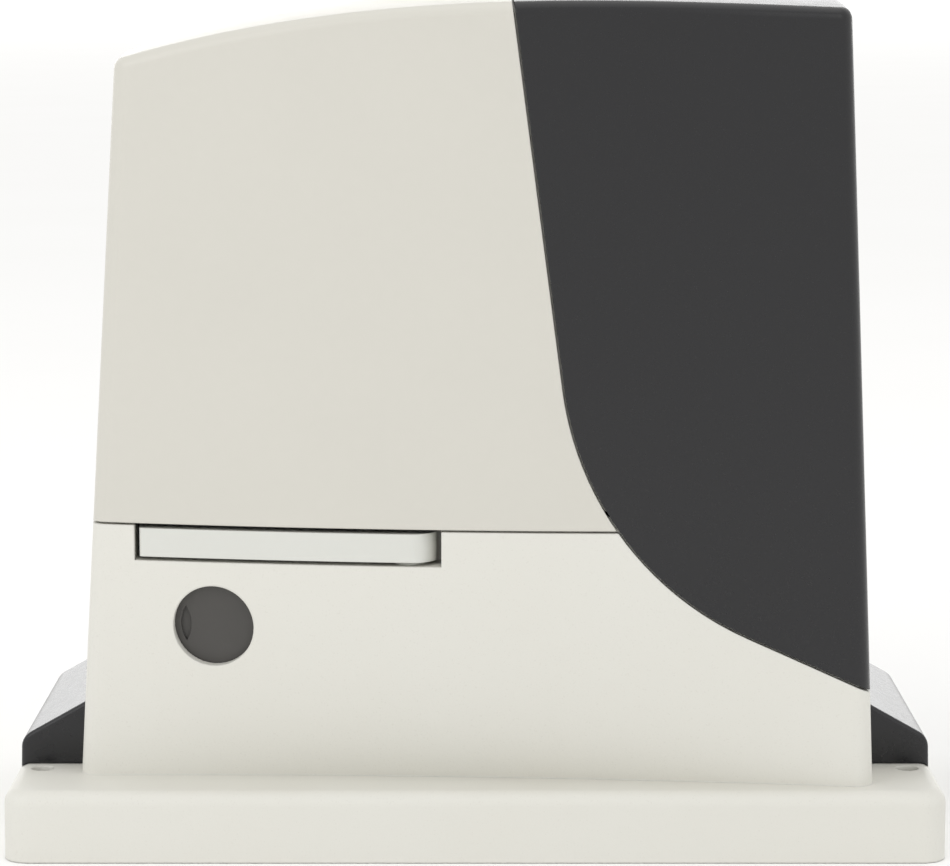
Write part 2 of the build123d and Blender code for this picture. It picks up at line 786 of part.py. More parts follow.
def gear_cover():
    """Round cover on the front of the gear case, with the front bearing's boss and six screw holes."""
    y0 = case_front_y - gear_cover_t
    plate = cyl_y(case_r + case_wall, y0, case_front_y)
    plate += cyl_y(front_bearing_r + 5, case_front_y - front_bearing_w - 3, case_front_y)
    for n in range(6):
        rib = block(front_bearing_r + 2, case_r - 3, y0 - 4, y0 + 1, shaft_z - 1.5, shaft_z + 1.5)
        plate += Pos(0, 0, shaft_z) * Rot(0, 60 * n + 22, 0) * Pos(0, 0, -shaft_z) * rib
    plate -= cyl_y(front_bearing_r, case_front_y - front_bearing_w, case_front_y + 1)
    plate -= cyl_y(shaft_r + 3, case_front_y - 60, case_front_y - front_bearing_w + 1)
    plate -= block(shift_bar_x - shift_bar_w / 2 - soft_clear, shift_bar_x + shift_bar_w / 2 + soft_clear,
                   -60, 0, shift_bar_z - soft_clear, shift_bar_z + shift_bar_h + soft_clear)
    for x, z in gear_cover_screw_places():
        plate -= cyl_y(screw_r + run_clear, -60, 0, x, z)
    return plate


def gear_cover_screws():
    """Six socket screws of the gear cover."""
    screws = []
    y0 = case_front_y - gear_cover_t
    for x, z in gear_cover_screw_places():
        screw = cyl_y(screw_r, y0 - 1, case_front_y + 8, x, z) + cyl_y(3.5, y0 - 3.5, y0, x, z)
        screws.append(screw - cyl_y(1.6, y0 - 4, y0 - 1.5, x, z))
    return Part() + screws


def rotor_shaft():
    """Motor shaft and worm in one piece, with plain journals at both ends."""
    lead = math.pi * gear_module
    root_r = worm_pitch_r - gear_dedendum
    tip_r = worm_pitch_r + gear_addendum
    low = shaft_z - lead * worm_turns / 2
    top = motor_can_z + motor_can_h + motor_bearing_w + 2.5
    shaft = cyl_z(root_r, low - 4, low + lead * worm_turns + 4, worm_x, wheel_y)
    shaft += cyl_z(motor_shaft_r, worm_low_z - worm_end_w + 1, top, worm_x, wheel_y)
    slope = math.tan(math.radians(pressure_angle))
    half = (math.pi * gear_module / 2 - tooth_thin) / 2
    in_r = root_r - 0.4
    out_half = half - (tip_r - worm_pitch_r) * slope
    in_half = half + (worm_pitch_r - in_r) * slope
    helix = Helix(lead, lead * worm_turns, worm_pitch_r)
    with BuildSketch(Plane.XZ) as sk:
        with BuildLine():
            Polyline((in_r, -in_half), (tip_r, -out_half), (tip_r, out_half), (in_r, in_half), (in_r, -in_half))
        make_face()
    thread = sweep(sk.sketch.faces()[0], path=helix, is_frenet=True)
    return shaft + Pos(worm_x, wheel_y, low) * thread


def rotor_core():
    """Laminated rotor core with twelve winding slots."""
    z0 = rotor_low_z
    core = cyl_z(rotor_r, z0, z0 + rotor_h, worm_x, wheel_y)
    for n in range(12):
        slot = Rot(0, 0, 30 * n) * Pos(rotor_r - 4, 0, 0) * Box(11, 3.4, rotor_h + 2)
        core -= Pos(worm_x, wheel_y, z0 + rotor_h / 2) * slot
    return core - cyl_z(motor_shaft_r, z0 - 1, z0 + rotor_h + 1, worm_x, wheel_y)


def rotor_winding():
    """End turns of the rotor's winding, as a rounded ring over each end of the core."""
    z0 = rotor_low_z
    rings = []
    for low, high in ((z0 - winding_h, z0), (z0 + rotor_h, z0 + rotor_h + winding_h)):
        ring = cyl_z(rotor_r - 3, low, high, worm_x, wheel_y)
        ring = fillet(ring.edges().filter_by(GeomType.CIRCLE), 2.5)
        rings.append(ring - cyl_z(motor_shaft_r + 3, low - 1, high + 1, worm_x, wheel_y))
    return Part() + rings


def commutator():
    """Commutator with its bars parted by narrow slots."""
    z0 = commutator_z()
    drum = cyl_z(commutator_r, z0, z0 + commutator_h, worm_x, wheel_y)
    for n in range(12):
        cut = Rot(0, 0, 30 * n) * Pos(commutator_r, 0, 0) * Box(2, 0.6, 12)
        drum -= Pos(worm_x, wheel_y, z0 + commutator_h / 2) * cut
    return drum - cyl_z(motor_shaft_r, z0 - 1, z0 + commutator_h + 1, worm_x, wheel_y)


def commutator_z():
    """Bottom of the commutator, just above the upper end turns."""
    return rotor_low_z + rotor_h + winding_h + 0.5


def motor_brushes():
    """Two carbon brushes in their guides under the upper end shield."""
    z = commutator_z() + commutator_h / 2
    x0 = commutator_r + run_clear + 0.05
    brushes = []
    for side in (-1, 1):
        brush = Pos(worm_x + side * (x0 + 4), wheel_y, z) * Box(8, 5, 6)
        brushes.append(brush - cyl_z(commutator_r + 0.1, z - 9, z + 9, worm_x, wheel_y))
    return Part() + brushes


def motor_can():
    """Steel can, open at both ends."""
    top = motor_can_z + motor_can_h
    can = cyl_z(motor_r, motor_can_z, top, worm_x, wheel_y)
    return can - cyl_z(motor_r - can_wall, motor_can_z - 1, top + 1, worm_x, wheel_y)


def motor_magnets():
    """Two curved magnets in the can."""
    z0 = rotor_low_z - 2
    z1 = rotor_low_z + rotor_h + 2
    r_out = motor_r - can_wall
    ring = cyl_z(r_out, z0, z1, worm_x, wheel_y)
    ring -= cyl_z(r_out - magnet_t, z0 - 1, z1 + 1, worm_x, wheel_y)
    return ring - block(worm_x - 8, worm_x + 8, -60, 80, z0 - 1, z1 + 1)


def end_shield(low, high, lip_low, lip_high):
    """Round end shield with a spigot into the can and a bearing seat."""
    shield = cyl_z(motor_r + 1.5, low, high, worm_x, wheel_y)
    return shield + cyl_z(motor_r - can_wall, lip_low, lip_high, worm_x, wheel_y)


def lower_shield():
    """Lower end shield, between the gear case and the can, with the motor's lower bearing."""
    shield = end_shield(case_top_z, motor_can_z, motor_can_z - 1, motor_can_z + 4)
    shield -= cyl_z(motor_bearing_r, motor_can_z - motor_bearing_w + 4, motor_can_z + 9, worm_x, wheel_y)
    shield -= cyl_z(motor_r - can_wall - 5, motor_can_z + 0.5, motor_can_z + 9, worm_x, wheel_y) - cyl_z(
        motor_bearing_r + 4, 0, 300, worm_x, wheel_y)
    shield -= cyl_z(motor_bearing_r + 4, motor_can_z + 1.0, motor_can_z + 9, worm_x, wheel_y)
    return shield - cyl_z(motor_shaft_r + 1, 0, 300, worm_x, wheel_y)


def upper_shield():
    """Upper end shield with the brush guides' room and the upper bearing's boss."""
    top = motor_can_z + motor_can_h
    shield = end_shield(top, top + 5, top - 4, top + 1)
    shield = chamfer(shield.faces().sort_by(Axis.Z)[-1].edges(), 1.5)
    shield += cyl_z(motor_bearing_r + 4, top + 4, top + motor_bearing_w + 6, worm_x, wheel_y)
    shield -= cyl_z(motor_bearing_r, top - 5, top + motor_bearing_w + 3, worm_x, wheel_y)
    shield -= cyl_z(motor_r - can_wall - 3, top - 9, top - 1, worm_x, wheel_y)
    z = commutator_z() + commutator_h / 2
    for side in (-1, 1):
        x = worm_x + side * 25
        shield += block(x - 4.5, x + 4.5, wheel_y - 4.5, wheel_y + 4.5, z - 4.5, top)
        shield -= Pos(x, wheel_y, z) * Box(12, 5.4, 6.4)
    return shield - cyl_z(motor_bearing_r, top - 30, top + motor_bearing_w + 3, worm_x, wheel_y)


def motor_bearing_places():
    """Bottom heights of the motor's two bearings."""
    return motor_can_z - motor_bearing_w + 4, motor_can_z + motor_can_h + 3


def motor_bearing_outers():
    """Outer rings of the motor's bearings."""
    rings = []
    for z in motor_bearing_places():
        ring = cyl_z(motor_bearing_r, z, z + motor_bearing_w, worm_x, wheel_y)
        rings.append(ring - cyl_z(8 + run_clear, z - 1, z + motor_bearing_w + 1, worm_x, wheel_y))
    return Part() + rings


def motor_bearing_inners():
    """Inner rings of the motor's bearings."""
    rings = []
    for z in motor_bearing_places():
        ring = cyl_z(8, z, z + motor_bearing_w, worm_x, wheel_y)
        rings.append(ring - cyl_z(motor_shaft_r, z - 1, z + motor_bearing_w + 1, worm_x, wheel_y))
    return Part() + rings


def worm_bush():
    """Bronze bush under the worm."""
    bush = cyl_z(worm_end_r, worm_low_z - worm_end_w, worm_low_z, worm_x, wheel_y)
    return bush - cyl_z(motor_shaft_r + run_clear, worm_low_z - worm_end_w - 1, worm_low_z + 1, worm_x, wheel_y)


def motor_bolts():
    """Two long bolts through both shields, outside the can, into the gear case."""
    bolts = []
    top = motor_can_z + motor_can_h + 5
    for side in (-1, 1):
        x = worm_x + side * bolt_out
        bolt = cyl_z(screw_r, case_top_z - 7, top + 1, x, wheel_y) + cyl_z(3.6, top, top + 3.2, x, wheel_y)
        bolts.append(bolt - cyl_z(1.6, top + 1.4, top + 4, x, wheel_y))
    return Part() + bolts


def bolt_ears(low, high):
    """Ears of a shield round the two long bolts."""
    ears = []
    for side in (-1, 1):
        ears.append(cyl_z(5, low, high, worm_x + side * bolt_out, wheel_y))
    return Part() + ears


def bolt_bores():
    """Holes for the two long bolts."""
    bores = []
    for side in (-1, 1):
        bores.append(cyl_z(screw_r + run_clear, case_top_z - 8, 260, worm_x + side * bolt_out, wheel_y))
    return Part() + bores


def release_handle():
    """Curved strip that fills the recess, with a rounded pivot end, a journal and a crank pin below."""
    x, y = handle_pivot()
    strip = form(0.0) & block(handle_left, handle_right, -150, 20, handle_low, handle_high)
    strip -= form(handle_t)
    strip -= block(x, handle_right + 5, -150, 20, 90, 130) - cyl_z(handle_end_r, 80, 140, x, y)
    strip -= block(x, handle_right + 5, y, 20, 90, 130)
    strip = biggest(strip)
    edges = [e for e in strip.edges() if e.center().X < handle_left + 0.5 and e.bounding_box().size.Z > 8]
    strip = fillet(edges, 1.6)
    strip -= block(handle_left + 5, handle_left + 24, front_y + 30, front_y + 60, handle_low + 2, handle_high - 2)
    hub = cyl_z(journal_r, handle_low - 5.2, handle_high, x, y)
    a = math.radians(crank_angle)
    pin = cyl_z(crank_pin_r, shift_bar_z + 0.5, handle_low, x + crank_r * math.cos(a), y + crank_r * math.sin(a))
    return strip + hub + pin


def shift_fork():
    """Bar that the handle's crank pin moves, with a yoke at its front and a fork in the collar's groove."""
    x, y = handle_pivot()
    pin_y = crank_pin_y()
    slot_half = crank_pin_r + 0.5
    z0, z1 = shift_bar_z, shift_bar_z + shift_bar_h
    fork_y = groove_y + (groove_w - fork_t) / 2
    bar = block(shift_bar_x - shift_bar_w / 2, shift_bar_x + shift_bar_w / 2, pin_y - 3, fork_y + fork_t, z0, z1)
    yoke = block(shift_bar_x - shift_bar_w / 2, x + 4, pin_y - yoke_reach, pin_y + slot_half + 2.5, z0, z1)
    yoke -= block(x - crank_r - crank_pin_r - 0.6, x + crank_pin_r + 0.6, pin_y - slot_half, pin_y + slot_half,
                  z0 - 1, z1 + 1)
    claw = cyl_y(collar_r + 5, fork_y, fork_y + fork_t) & block(-60, -1, -60, 60, 0, 200)
    claw += block(shift_bar_x - shift_bar_w / 2, -collar_r, fork_y, fork_y + fork_t, z0, z1)
    claw -= cyl_y(collar_groove_r + soft_clear, -60, 60)
    claw -= block(0, 60, -60, 60, 0, 200)
    return bar + yoke + claw


def lock_housing():
    """Block behind the wall that holds the lock core and guides the shutter between two rails."""
    shelf = lock_seat_w - shutter_t - 0.2
    rail_h = lock_seat_w + soft_clear - shelf
    rail_t = lock_half_v() - shutter_r - soft_clear
    body = Pos(shutter_travel / 2, 0, shelf - 4.5) * Box(2 * lock_half_u(), 2 * lock_half_v(), 9)
    for side in (-1, 1):
        v = side * (lock_half_v() - rail_t / 2)
        body += Pos(shutter_travel / 2, v, shelf + rail_h / 2) * Box(2 * lock_half_u(), rail_t, rail_h)
    body += Pos(0, 0, shelf - 16) * Cylinder(lock_core_r + 4, 16)
    body -= Pos(0, 0, shelf - 16) * Cylinder(lock_core_r + run_clear, 60)
    return lock_at(body)


def lock_shutter():
    """Round shutter with a lens-shaped finger recess near its left edge."""
    front = lock_seat_w
    disc = Pos(0, 0, front - shutter_t / 2) * Cylinder(shutter_r, shutter_t)
    disc = chamfer(disc.faces().sort_by(Axis.Z)[-1].edges(), 0.4)
    arc_r = 12.0
    reach = 3.6
    left = Pos(-lock_hole_r + 2.2 + arc_r, 0, front) * Cylinder(arc_r, 2.4)
    right = Pos(-lock_hole_r + 2.2 + reach - arc_r, 0, front) * Cylinder(arc_r, 2.4)
    return lock_at(disc - (left & right))


def lock_core():
    """Lock core with a key slot, and a cam arm at its back."""
    shelf = lock_seat_w - shutter_t - 0.2
    core = Pos(0, 0, shelf - 0.3 - 13) * Cylinder(lock_core_r, 26)
    core -= Pos(0, 0, shelf - 4) * Box(1.4, 8.0, 9)
    cam = Pos(0, 0, shelf - 27.8) * (Cylinder(lock_core_r + 1.5, 3) + Pos(-8, 0, 0) * Box(16, 7, 3))
    return lock_at(core + cam)


def cap_outline(side, grow):
    """Outline of a bolt cover seen from the front, drawn in by grow."""
    s = side
    slope = math.atan2(cap_top_z - cap_shoulder_z, 18.1)
    corner_x = cap_out_x - grow
    corner_z = 34.8 - grow * 1.1
    inner_x = 120.0
    rise = (corner_x - inner_x) * math.tan(slope)
    with BuildSketch(Plane.XZ) as sk:
        with BuildLine():
            FilletPolyline((s * inner_x, corner_z + rise), (s * corner_x, corner_z),
                           (s * (corner_x + 0.6), 10), radius=max(6.5 - grow, 1.0))
            Polyline((s * (corner_x + 0.6), 10), (s * inner_x, 10), (s * inner_x, corner_z + rise))
        make_face()
    return sk.sketch


def bolt_cover(side, clear_form, flange_up):
    """Cover over one ear's anchor slots: a sloped shell, open below and towards the wall."""
    length = cap_back_y - cap_front_y
    mid = (cap_back_y + cap_front_y) / 2
    outer = Pos(0, mid, 0) * extrude(cap_outline(side, 0), length / 2, both=True)
    edges = [e for e in outer.edges() if abs(e.center().Y - mid) > length / 2 - 1 and e.center().Z > 12
             and abs(e.center().X) > 125]
    outer = fillet(edges, 1.5)
    inner = Pos(0, mid, 0) * extrude(cap_outline(side, cap_wall), length / 2 - cap_wall, both=True)
    cap = outer - inner - clear_form - flange_up
    rib_y = (slot_front_y + slot_back_y) / 2
    rib = inner & block(-200, 200, rib_y - 1, rib_y + 1, flange_h + 6, 60)
    return biggest(cap + (rib - clear_form))


def levelling_screw(side, y):
    """Grub screw with a hexagon socket, level with the flange's underside."""
    x = side * level_x
    screw = cyl_z(level_r - run_clear, 0, level_len, x, y)
    screw = chamfer(screw.edges().filter_by(GeomType.CIRCLE), 0.6)
    socket = Pos(x, y, level_len - 2.5) * extrude(RegularPolygon(2.3, 6), 3, both=True)
    return screw - socket


def switch_block():
    """Limit switch housing on its stand, passing through the light cover's notch."""
    body = block(-switch_w / 2, switch_w / 2, switch_front_y, switch_back_y, switch_z, switch_top_z)
    body = fillet(body.edges().filter_by(Axis.Y), 3.0)
    body += block(-switch_w / 2, switch_w / 2, switch_front_y, switch_back_y - 7, switch_z, switch_z + 4)
    seat_r = whisker_ball_r + soft_clear
    body -= cyl_y(seat_r, whisker_pivot_y - seat_r, switch_back_y + 5, 0, whisker_z)
    return body + cyl_z(1.0, whisker_z - seat_r - 1, whisker_z + seat_r + 1, 0, whisker_pivot_y)


def whisker():
    """Sprung whisker whose ball turns on an upright pin."""
    end = whisker_pivot_y + whisker_len
    rod = cyl_y(whisker_r, whisker_pivot_y, end, 0, whisker_z)
    tip = Pos(0, end, whisker_z) * Sphere(whisker_r * 1.6)
    ball = Pos(0, whisker_pivot_y, whisker_z) * Sphere(whisker_ball_r)
    return ball + rod + tip - cyl_z(1.0 + run_clear, 0, 300, 0, whisker_pivot_y)


def cable_grommet():
    """Rubber grommet in the floor opening."""
    ring = cyl_z(cable_r + 4, 0.5, floor_t + 3, cable_x, cable_y)
    ring += cyl_z(cable_r + 7, floor_t + 3, floor_t + 6, cable_x, cable_y)
    ring = ring - cyl_z(cable_r, -1, 30, cable_x, cable_y)
    return ring


def board_carrier():
    """Tray that holds the board upright on two legs, with posts behind the board's corners."""
    back = carrier_back_y
    tray = block(carrier_left, carrier_right, back - carrier_t, back, carrier_low, carrier_high)
    tray = fillet(tray.edges().filter_by(Axis.Y), 5)
    rim = block(carrier_left, carrier_right, back - carrier_t - 7, back, carrier_low, carrier_high)
    rim = fillet(rim.edges().filter_by(Axis.Y), 5)
    hollow = block(carrier_left + 2, carrier_right - 2, back - 30, back - 1, carrier_low + 2, carrier_high - 2)
    tray += rim - fillet(hollow.edges().filter_by(Axis.Y), 3.5)
    for x, z in board_corners():
        tray += cyl_y(3.4, back - carrier_t - board_gap, back - 1, x, z)
    for x in (carrier_left + leg_w / 2, carrier_right - leg_w / 2):
        tray += block(x - leg_w / 2, x + leg_w / 2, back - carrier_t, back, floor_t + 4, carrier_low + 6)
        tray += block(x - 1.5, x + 1.5, back - 7, back, floor_t + 4, carrier_low + 2)
    for x, z in board_corners():
        tray -= cyl_y(1.25, back - 30, back - 0.8, x, z)
    return tray


def board_corners():
    """Screw places at the board's corners."""
    return [(x, z) for x in (carrier_left + 9, carrier_right - 9) for z in (carrier_low + 9, carrier_high - 9)]


def board_front():
    """Front face of the board."""
    return carrier_back_y - carrier_t - board_gap - board_t


def control_board():
    """Printed circuit board with its corner holes."""
    y1 = carrier_back_y - carrier_t - board_gap
    board = block(carrier_left + 4, carrier_right - 4, y1 - board_t, y1, carrier_low + 4, carrier_high - 4)
    board = fillet(board.edges().filter_by(Axis.Y), 2.5)
    for x, z in board_corners():
        board -= cyl_y(1.3, -100, 0, x, z)
    return board


def board_screws():
    """Four screws through the board into the carrier's posts."""
    y0 = board_front()
    screws = []
    for x, z in board_corners():
        screw = cyl_y(1.2, y0 - 1, carrier_back_y - 1.5, x, z) + cyl_y(2.6, y0 - 2, y0, x, z)
        screws.append(screw - Pos(x, y0 - 2, z) * (Box(3.2, 1.6, 0.7) + Box(0.7, 1.6, 3.2)))
    return Part() + screws


def terminal_block(x0, x1, z, poles):
    """Row of screw terminals on the board, wire mouths downwards."""
    y0 = board_front()
    body = block(x0, x1, y0 - 11, y0, z, z + 10)
    body -= block(x0 - 1, x1 + 1, y0 - 12, y0 - 8, z - 1, z + 2.5)
    pitch = (x1 - x0) / poles
    for n in range(poles):
        x = x0 + pitch * (n + 0.5)
        body -= cyl_y(pitch * 0.32, y0 - 12, y0 - 7, x, z + 6.4)
        body -= block(x - pitch * 0.3, x + pitch * 0.3, y0 - 7.4, y0 - 2.4, z - 1, z + 6)
    return body


def terminal_blocks():
    """Mains terminals at the left and signal terminals along the bottom."""
    low = carrier_low + 16
    left = carrier_left + 8
    return (terminal_block(left, left + 22, low, 3) + terminal_block(left + 25, left + 60, low, 7)
            + terminal_block(left + 25, left + 60, low + 15, 7))


def relays():
    """Two relays."""
    y0 = board_front()
    out = []
    for n in range(2):
        x = carrier_left + 12 + 22 * n
        cube = block(x, x + 19, y0 - 16, y0, carrier_low + 52, carrier_low + 67.5)
        out.append(chamfer(cube.faces().sort_by(Axis.Y)[0].edges(), 0.8))
    return Part() + out


def capacitors():
    """Three upright capacitors with rolled tops."""
    y0 = board_front()
    out = []
    for x, z, r, h in ((61, 50, 6.5, 22), (61, 66, 6.5, 22), (62, 80, 4, 12)):
        can = cyl_y(r, y0 - h, y0, carrier_left + x, carrier_low + z)
        can = fillet(can.faces().sort_by(Axis.Y)[0].edges(), 1.0)
        groove = cyl_y(r + 1, y0 - 3.4, y0 - 2.4, carrier_left + x, carrier_low + z)
        out.append(can - (groove - cyl_y(r - 0.5, -150, 0, carrier_left + x, carrier_low + z)))
    return Part() + out


def heat_sink():
    """Finned heat sink at the board's top."""
    y0 = board_front()
    x0, x1 = carrier_left + 10, carrier_left + 56
    z0 = carrier_low + 100
    sink = block(x0, x1, y0 - 4, y0, z0, z0 + 24)
    count = 8
    for n in range(count):
        x = x0 + (x1 - x0 - 2) * n / (count - 1)
        sink += block(x, x + 2, y0 - 20, y0 - 3, z0, z0 + 24)
    return sink


def fuse_holder():
    """Fuse holder with a cap that shows its slot."""
    y0 = board_front()
    x = carrier_left + 14
    z = carrier_low + 82
    body = block(x, x + 24, y0 - 10, y0, z - 5, z + 5)
    body = fillet(body.edges().filter_by(Axis.X), 2.0)
    return body - block(x + 4, x + 20, y0 - 11, y0 - 6, z - 2.6, z + 2.6)


def fuse():
    """Glass fuse lying in its holder."""
    y0 = board_front()
    x = carrier_left + 16
    z = carrier_low + 82
    return Pos(x + 10, y0 - 8.4, z) * Rot(0, 90, 0) * Cylinder(2.4, 15.6)


def trafo_foot_ys():
    """Places of the strap's two feet in front of and behind the core."""
    reach = trafo_len / 2 + 6
    return trafo_y - reach, trafo_y + reach


def trafo_core():
    """Laminated core with two windows."""
    half = trafo_len / 2
    core = block(trafo_x - trafo_stack / 2, trafo_x + trafo_stack / 2, trafo_y - half, trafo_y + half,
                 trafo_z, trafo_z + trafo_h)
    leg = trafo_len / 6
    for side in (-1, 1):
        y = trafo_y + side * leg * 1.5
        core -= block(0, 200, y - leg / 2, y + leg / 2, trafo_z + leg, trafo_z + trafo_h - leg)
    return core


def trafo_coil():
    """Bobbin and winding round the core's middle leg."""
    leg = trafo_len / 6
    z0, z1 = trafo_z + leg + 0.3, trafo_z + trafo_h - leg - 0.3
    reach = trafo_stack / 2 + leg - 1
    coil = block(trafo_x - reach, trafo_x + reach, trafo_y - 2 * leg + 0.5, trafo_y + 2 * leg - 0.5, z0 + 2, z1 - 2)
    coil = fillet(coil.edges().filter_by(Axis.Z), 4)
    for low in (z0, z1 - 2):
        coil += block(trafo_x - reach - 1, trafo_x + reach + 1, trafo_y - 2 * leg + 0.3, trafo_y + 2 * leg - 0.3,
                      low, low + 2)
    return coil - block(trafo_x - trafo_stack / 2, trafo_x + trafo_stack / 2, trafo_y - leg, trafo_y + leg,
                        0, 200)


def trafo_strap():
    """Steel strap over the core, with two feet on the floor bosses."""
    half = trafo_len / 2
    t = trafo_strap_t
    x0, x1 = trafo_x - trafo_stack / 2 + 4, trafo_x + trafo_stack / 2 - 4
    top = trafo_z + trafo_h
    strap = block(x0, x1, trafo_y - half - t, trafo_y + half + t, trafo_z, top + t)
    strap -= block(x0 - 1, x1 + 1, trafo_y - half, trafo_y + half, 0, top)
    for y in trafo_foot_ys():
        strap += block(x0, x1, y - 5, y + 5, trafo_z, trafo_z + t)
        strap -= cyl_z(screw_r + run_clear, 0, trafo_z + 5, trafo_x, y)
    return strap


def trafo_screws():
    """Two screws of the strap's feet."""
    screws = []
    for y in trafo_foot_ys():
        z = trafo_z + trafo_strap_t
        screw = cyl_z(screw_r, z - 8, z + 0.5, trafo_x, y) + cyl_z(3.6, z, z + 2.6, trafo_x, y)
        screws.append(screw - Pos(trafo_x, y, z + 2.6) * (Box(4.4, 1.0, 2) + Box(1.0, 4.4, 2)))
    return Part() + screws


def main():
    """Builds every piece and writes one file for each."""
    outer = form(0.0)
    outer = fillet([e for e in outer.edges() if e.center().Z > 262], top_edge_r)
    inner = form(cover_wall)
    flange_up = Pos(0, 0, soft_clear) * flange()
    wall_clear = form(-0.4)
    lower = lower_shield() + bolt_ears(case_top_z, motor_can_z)
    upper = upper_shield() + bolt_ears(motor_can_z + motor_can_h, motor_can_z + motor_can_h + 5)
    can_room = cyl_z(motor_r - can_wall, motor_can_z + 4.1, motor_can_z + motor_can_h - 4.1, worm_x, wheel_y)
    base = base_casting(outer)
    for y in trafo_foot_ys():
        base -= cyl_z(screw_r + run_clear, trafo_z - 7, trafo_z + 1, trafo_x, y)
    base -= bolt_bores()
    pieces = {
        "base_casting": base,
        "light_cover": light_cover(outer, inner),
        "dark_lid": lid(outer, inner),
        "light_cover_screws": cover_screws(),
        "lid_screw": lid_screw(),
        "bolt_cover_left": bolt_cover(-1, wall_clear, flange_up),
        "bolt_cover_right": bolt_cover(1, wall_clear, flange_up),
        "release_handle": release_handle(),
        "shift_fork": shift_fork(),
        "lock_housing": lock_housing(),
        "lock_shutter": lock_shutter(),
        "lock_core": lock_core(),
        "output_shaft": output_shaft(),
        "clutch_key": clutch_key(),
        "pinion_key": pinion_key(),
        "output_pinion": output_pinion(),
        "pinion_washer": pinion_washer(),
        "pinion_circlip": pinion_circlip(),
        "worm_wheel": worm_wheel(),
        "clutch_collar": clutch_collar(),
        "spacer_sleeve": spacer_sleeve(),
        "shaft_bearing_outers": shaft_bearing_outers(),
        "shaft_bearing_inners": shaft_bearing_inners(),
        "shaft_seal": shaft_seal(),
        "gear_cover": gear_cover(),
        "gear_cover_screws": gear_cover_screws(),
        "worm_shaft": rotor_shaft(),
        "rotor_core": rotor_core(),
        "rotor_winding": rotor_winding(),
        "commutator": commutator(),
        "worm_bush": worm_bush(),
        "motor_can": motor_can(),
        "motor_magnets": motor_magnets(),
        "motor_lower_shield": lower - bolt_bores(),
        "motor_upper_shield": upper - bolt_bores(),
        "motor_bearing_outers": motor_bearing_outers(),
        "motor_bearing_inners": motor_bearing_inners(),
        "motor_brushes": motor_brushes(),
        "motor_bolts": motor_bolts(),
        "switch_block": switch_block(),
        "switch_whisker": whisker(),
        "cable_grommet": cable_grommet(),
        "board_carrier": board_carrier(),
        "control_board": control_board(),
        "board_screws": board_screws(),
        "terminal_blocks": terminal_blocks(),
        "relays": relays(),
        "capacitors": capacitors(),
        "heat_sink": heat_sink(),
        "fuse_holder": fuse_holder(),
        "fuse": fuse(),
        "transformer_core": trafo_core(),
        "transformer_coil": trafo_coil(),
        "transformer_strap": trafo_strap(),
        "transformer_screws": trafo_screws(),
    }
    for name, side, y in (("front_left", -1, level_front_y), ("front_right", 1, level_front_y),
                          ("back_left", -1, level_back_y), ("back_right", 1, level_back_y)):
        pieces["levelling_screw_" + name] = levelling_screw(side, y)
    os.makedirs("parts", exist_ok=True)
    for name, shape in pieces.items():
        shape.label = name
        export_step(shape, "parts/" + name + ".step")


if __name__ == "__main__":
    main()
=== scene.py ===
# %% [markdown]
# # A sliding gate motor, finished in Blender
#
# The motor's solid pieces come from the CAD model with their true sizes and places. This script gives
# each of them the finish of the real thing, adds the small electronic parts that sit on the control board,
# and sets up a pale studio. Nothing from CAD is moved or resized here.
#
# The cells go in the order of the work: load the frame, build the shared surface effects, make one
# material for each finish, dress the pieces, add the small parts, then camera and light.

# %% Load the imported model
import json
import math

import bmesh
import bpy
from mathutils import Matrix, Vector


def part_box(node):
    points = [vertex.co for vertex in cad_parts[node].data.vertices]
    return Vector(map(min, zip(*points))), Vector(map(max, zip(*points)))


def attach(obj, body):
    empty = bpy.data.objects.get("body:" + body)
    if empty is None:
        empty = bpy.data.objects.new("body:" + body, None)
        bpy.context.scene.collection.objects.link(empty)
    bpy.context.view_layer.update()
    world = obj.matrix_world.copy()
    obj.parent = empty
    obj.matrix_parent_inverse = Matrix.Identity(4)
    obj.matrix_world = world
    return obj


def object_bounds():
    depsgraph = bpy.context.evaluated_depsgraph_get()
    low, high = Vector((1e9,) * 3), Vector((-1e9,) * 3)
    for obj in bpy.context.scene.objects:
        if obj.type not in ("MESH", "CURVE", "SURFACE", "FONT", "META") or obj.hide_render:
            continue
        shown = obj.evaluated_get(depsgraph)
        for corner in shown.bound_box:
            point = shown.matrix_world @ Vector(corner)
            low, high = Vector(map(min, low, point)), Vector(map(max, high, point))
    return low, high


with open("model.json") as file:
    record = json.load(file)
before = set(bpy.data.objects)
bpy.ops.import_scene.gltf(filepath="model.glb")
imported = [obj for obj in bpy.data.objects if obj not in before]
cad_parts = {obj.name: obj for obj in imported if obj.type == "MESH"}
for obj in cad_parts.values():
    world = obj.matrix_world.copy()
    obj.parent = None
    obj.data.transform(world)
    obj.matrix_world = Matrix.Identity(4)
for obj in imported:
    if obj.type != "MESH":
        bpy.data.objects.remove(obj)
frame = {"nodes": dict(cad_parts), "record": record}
cad_low, cad_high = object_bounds()
print("box in metres", [round(v, 4) for v in cad_high - cad_low])

# %% [markdown]
# ## Building node groups by hand
#
# Surface effects that several finishes share are shader node groups. A group is like a function: it has
# named inputs and outputs and is built once. Three helpers keep the code short. One adds a node and sets its
# options, one opens a group with its sockets, and one does arithmetic between two sockets.

# %% Helpers for shader nodes
MM = 0.001


def add_node(tree, kind, **options):
    """Adds a node and sets its options."""
    node = tree.nodes.new(kind)
    for name, value in options.items():
        setattr(node, name, value)
    return node


def feed(tree, socket, value):
    """Gives an input socket a link when value is a socket, and otherwise a plain number or colour."""
    if isinstance(value, bpy.types.NodeSocket):
        tree.links.new(value, socket)
    else:
        socket.default_value = value


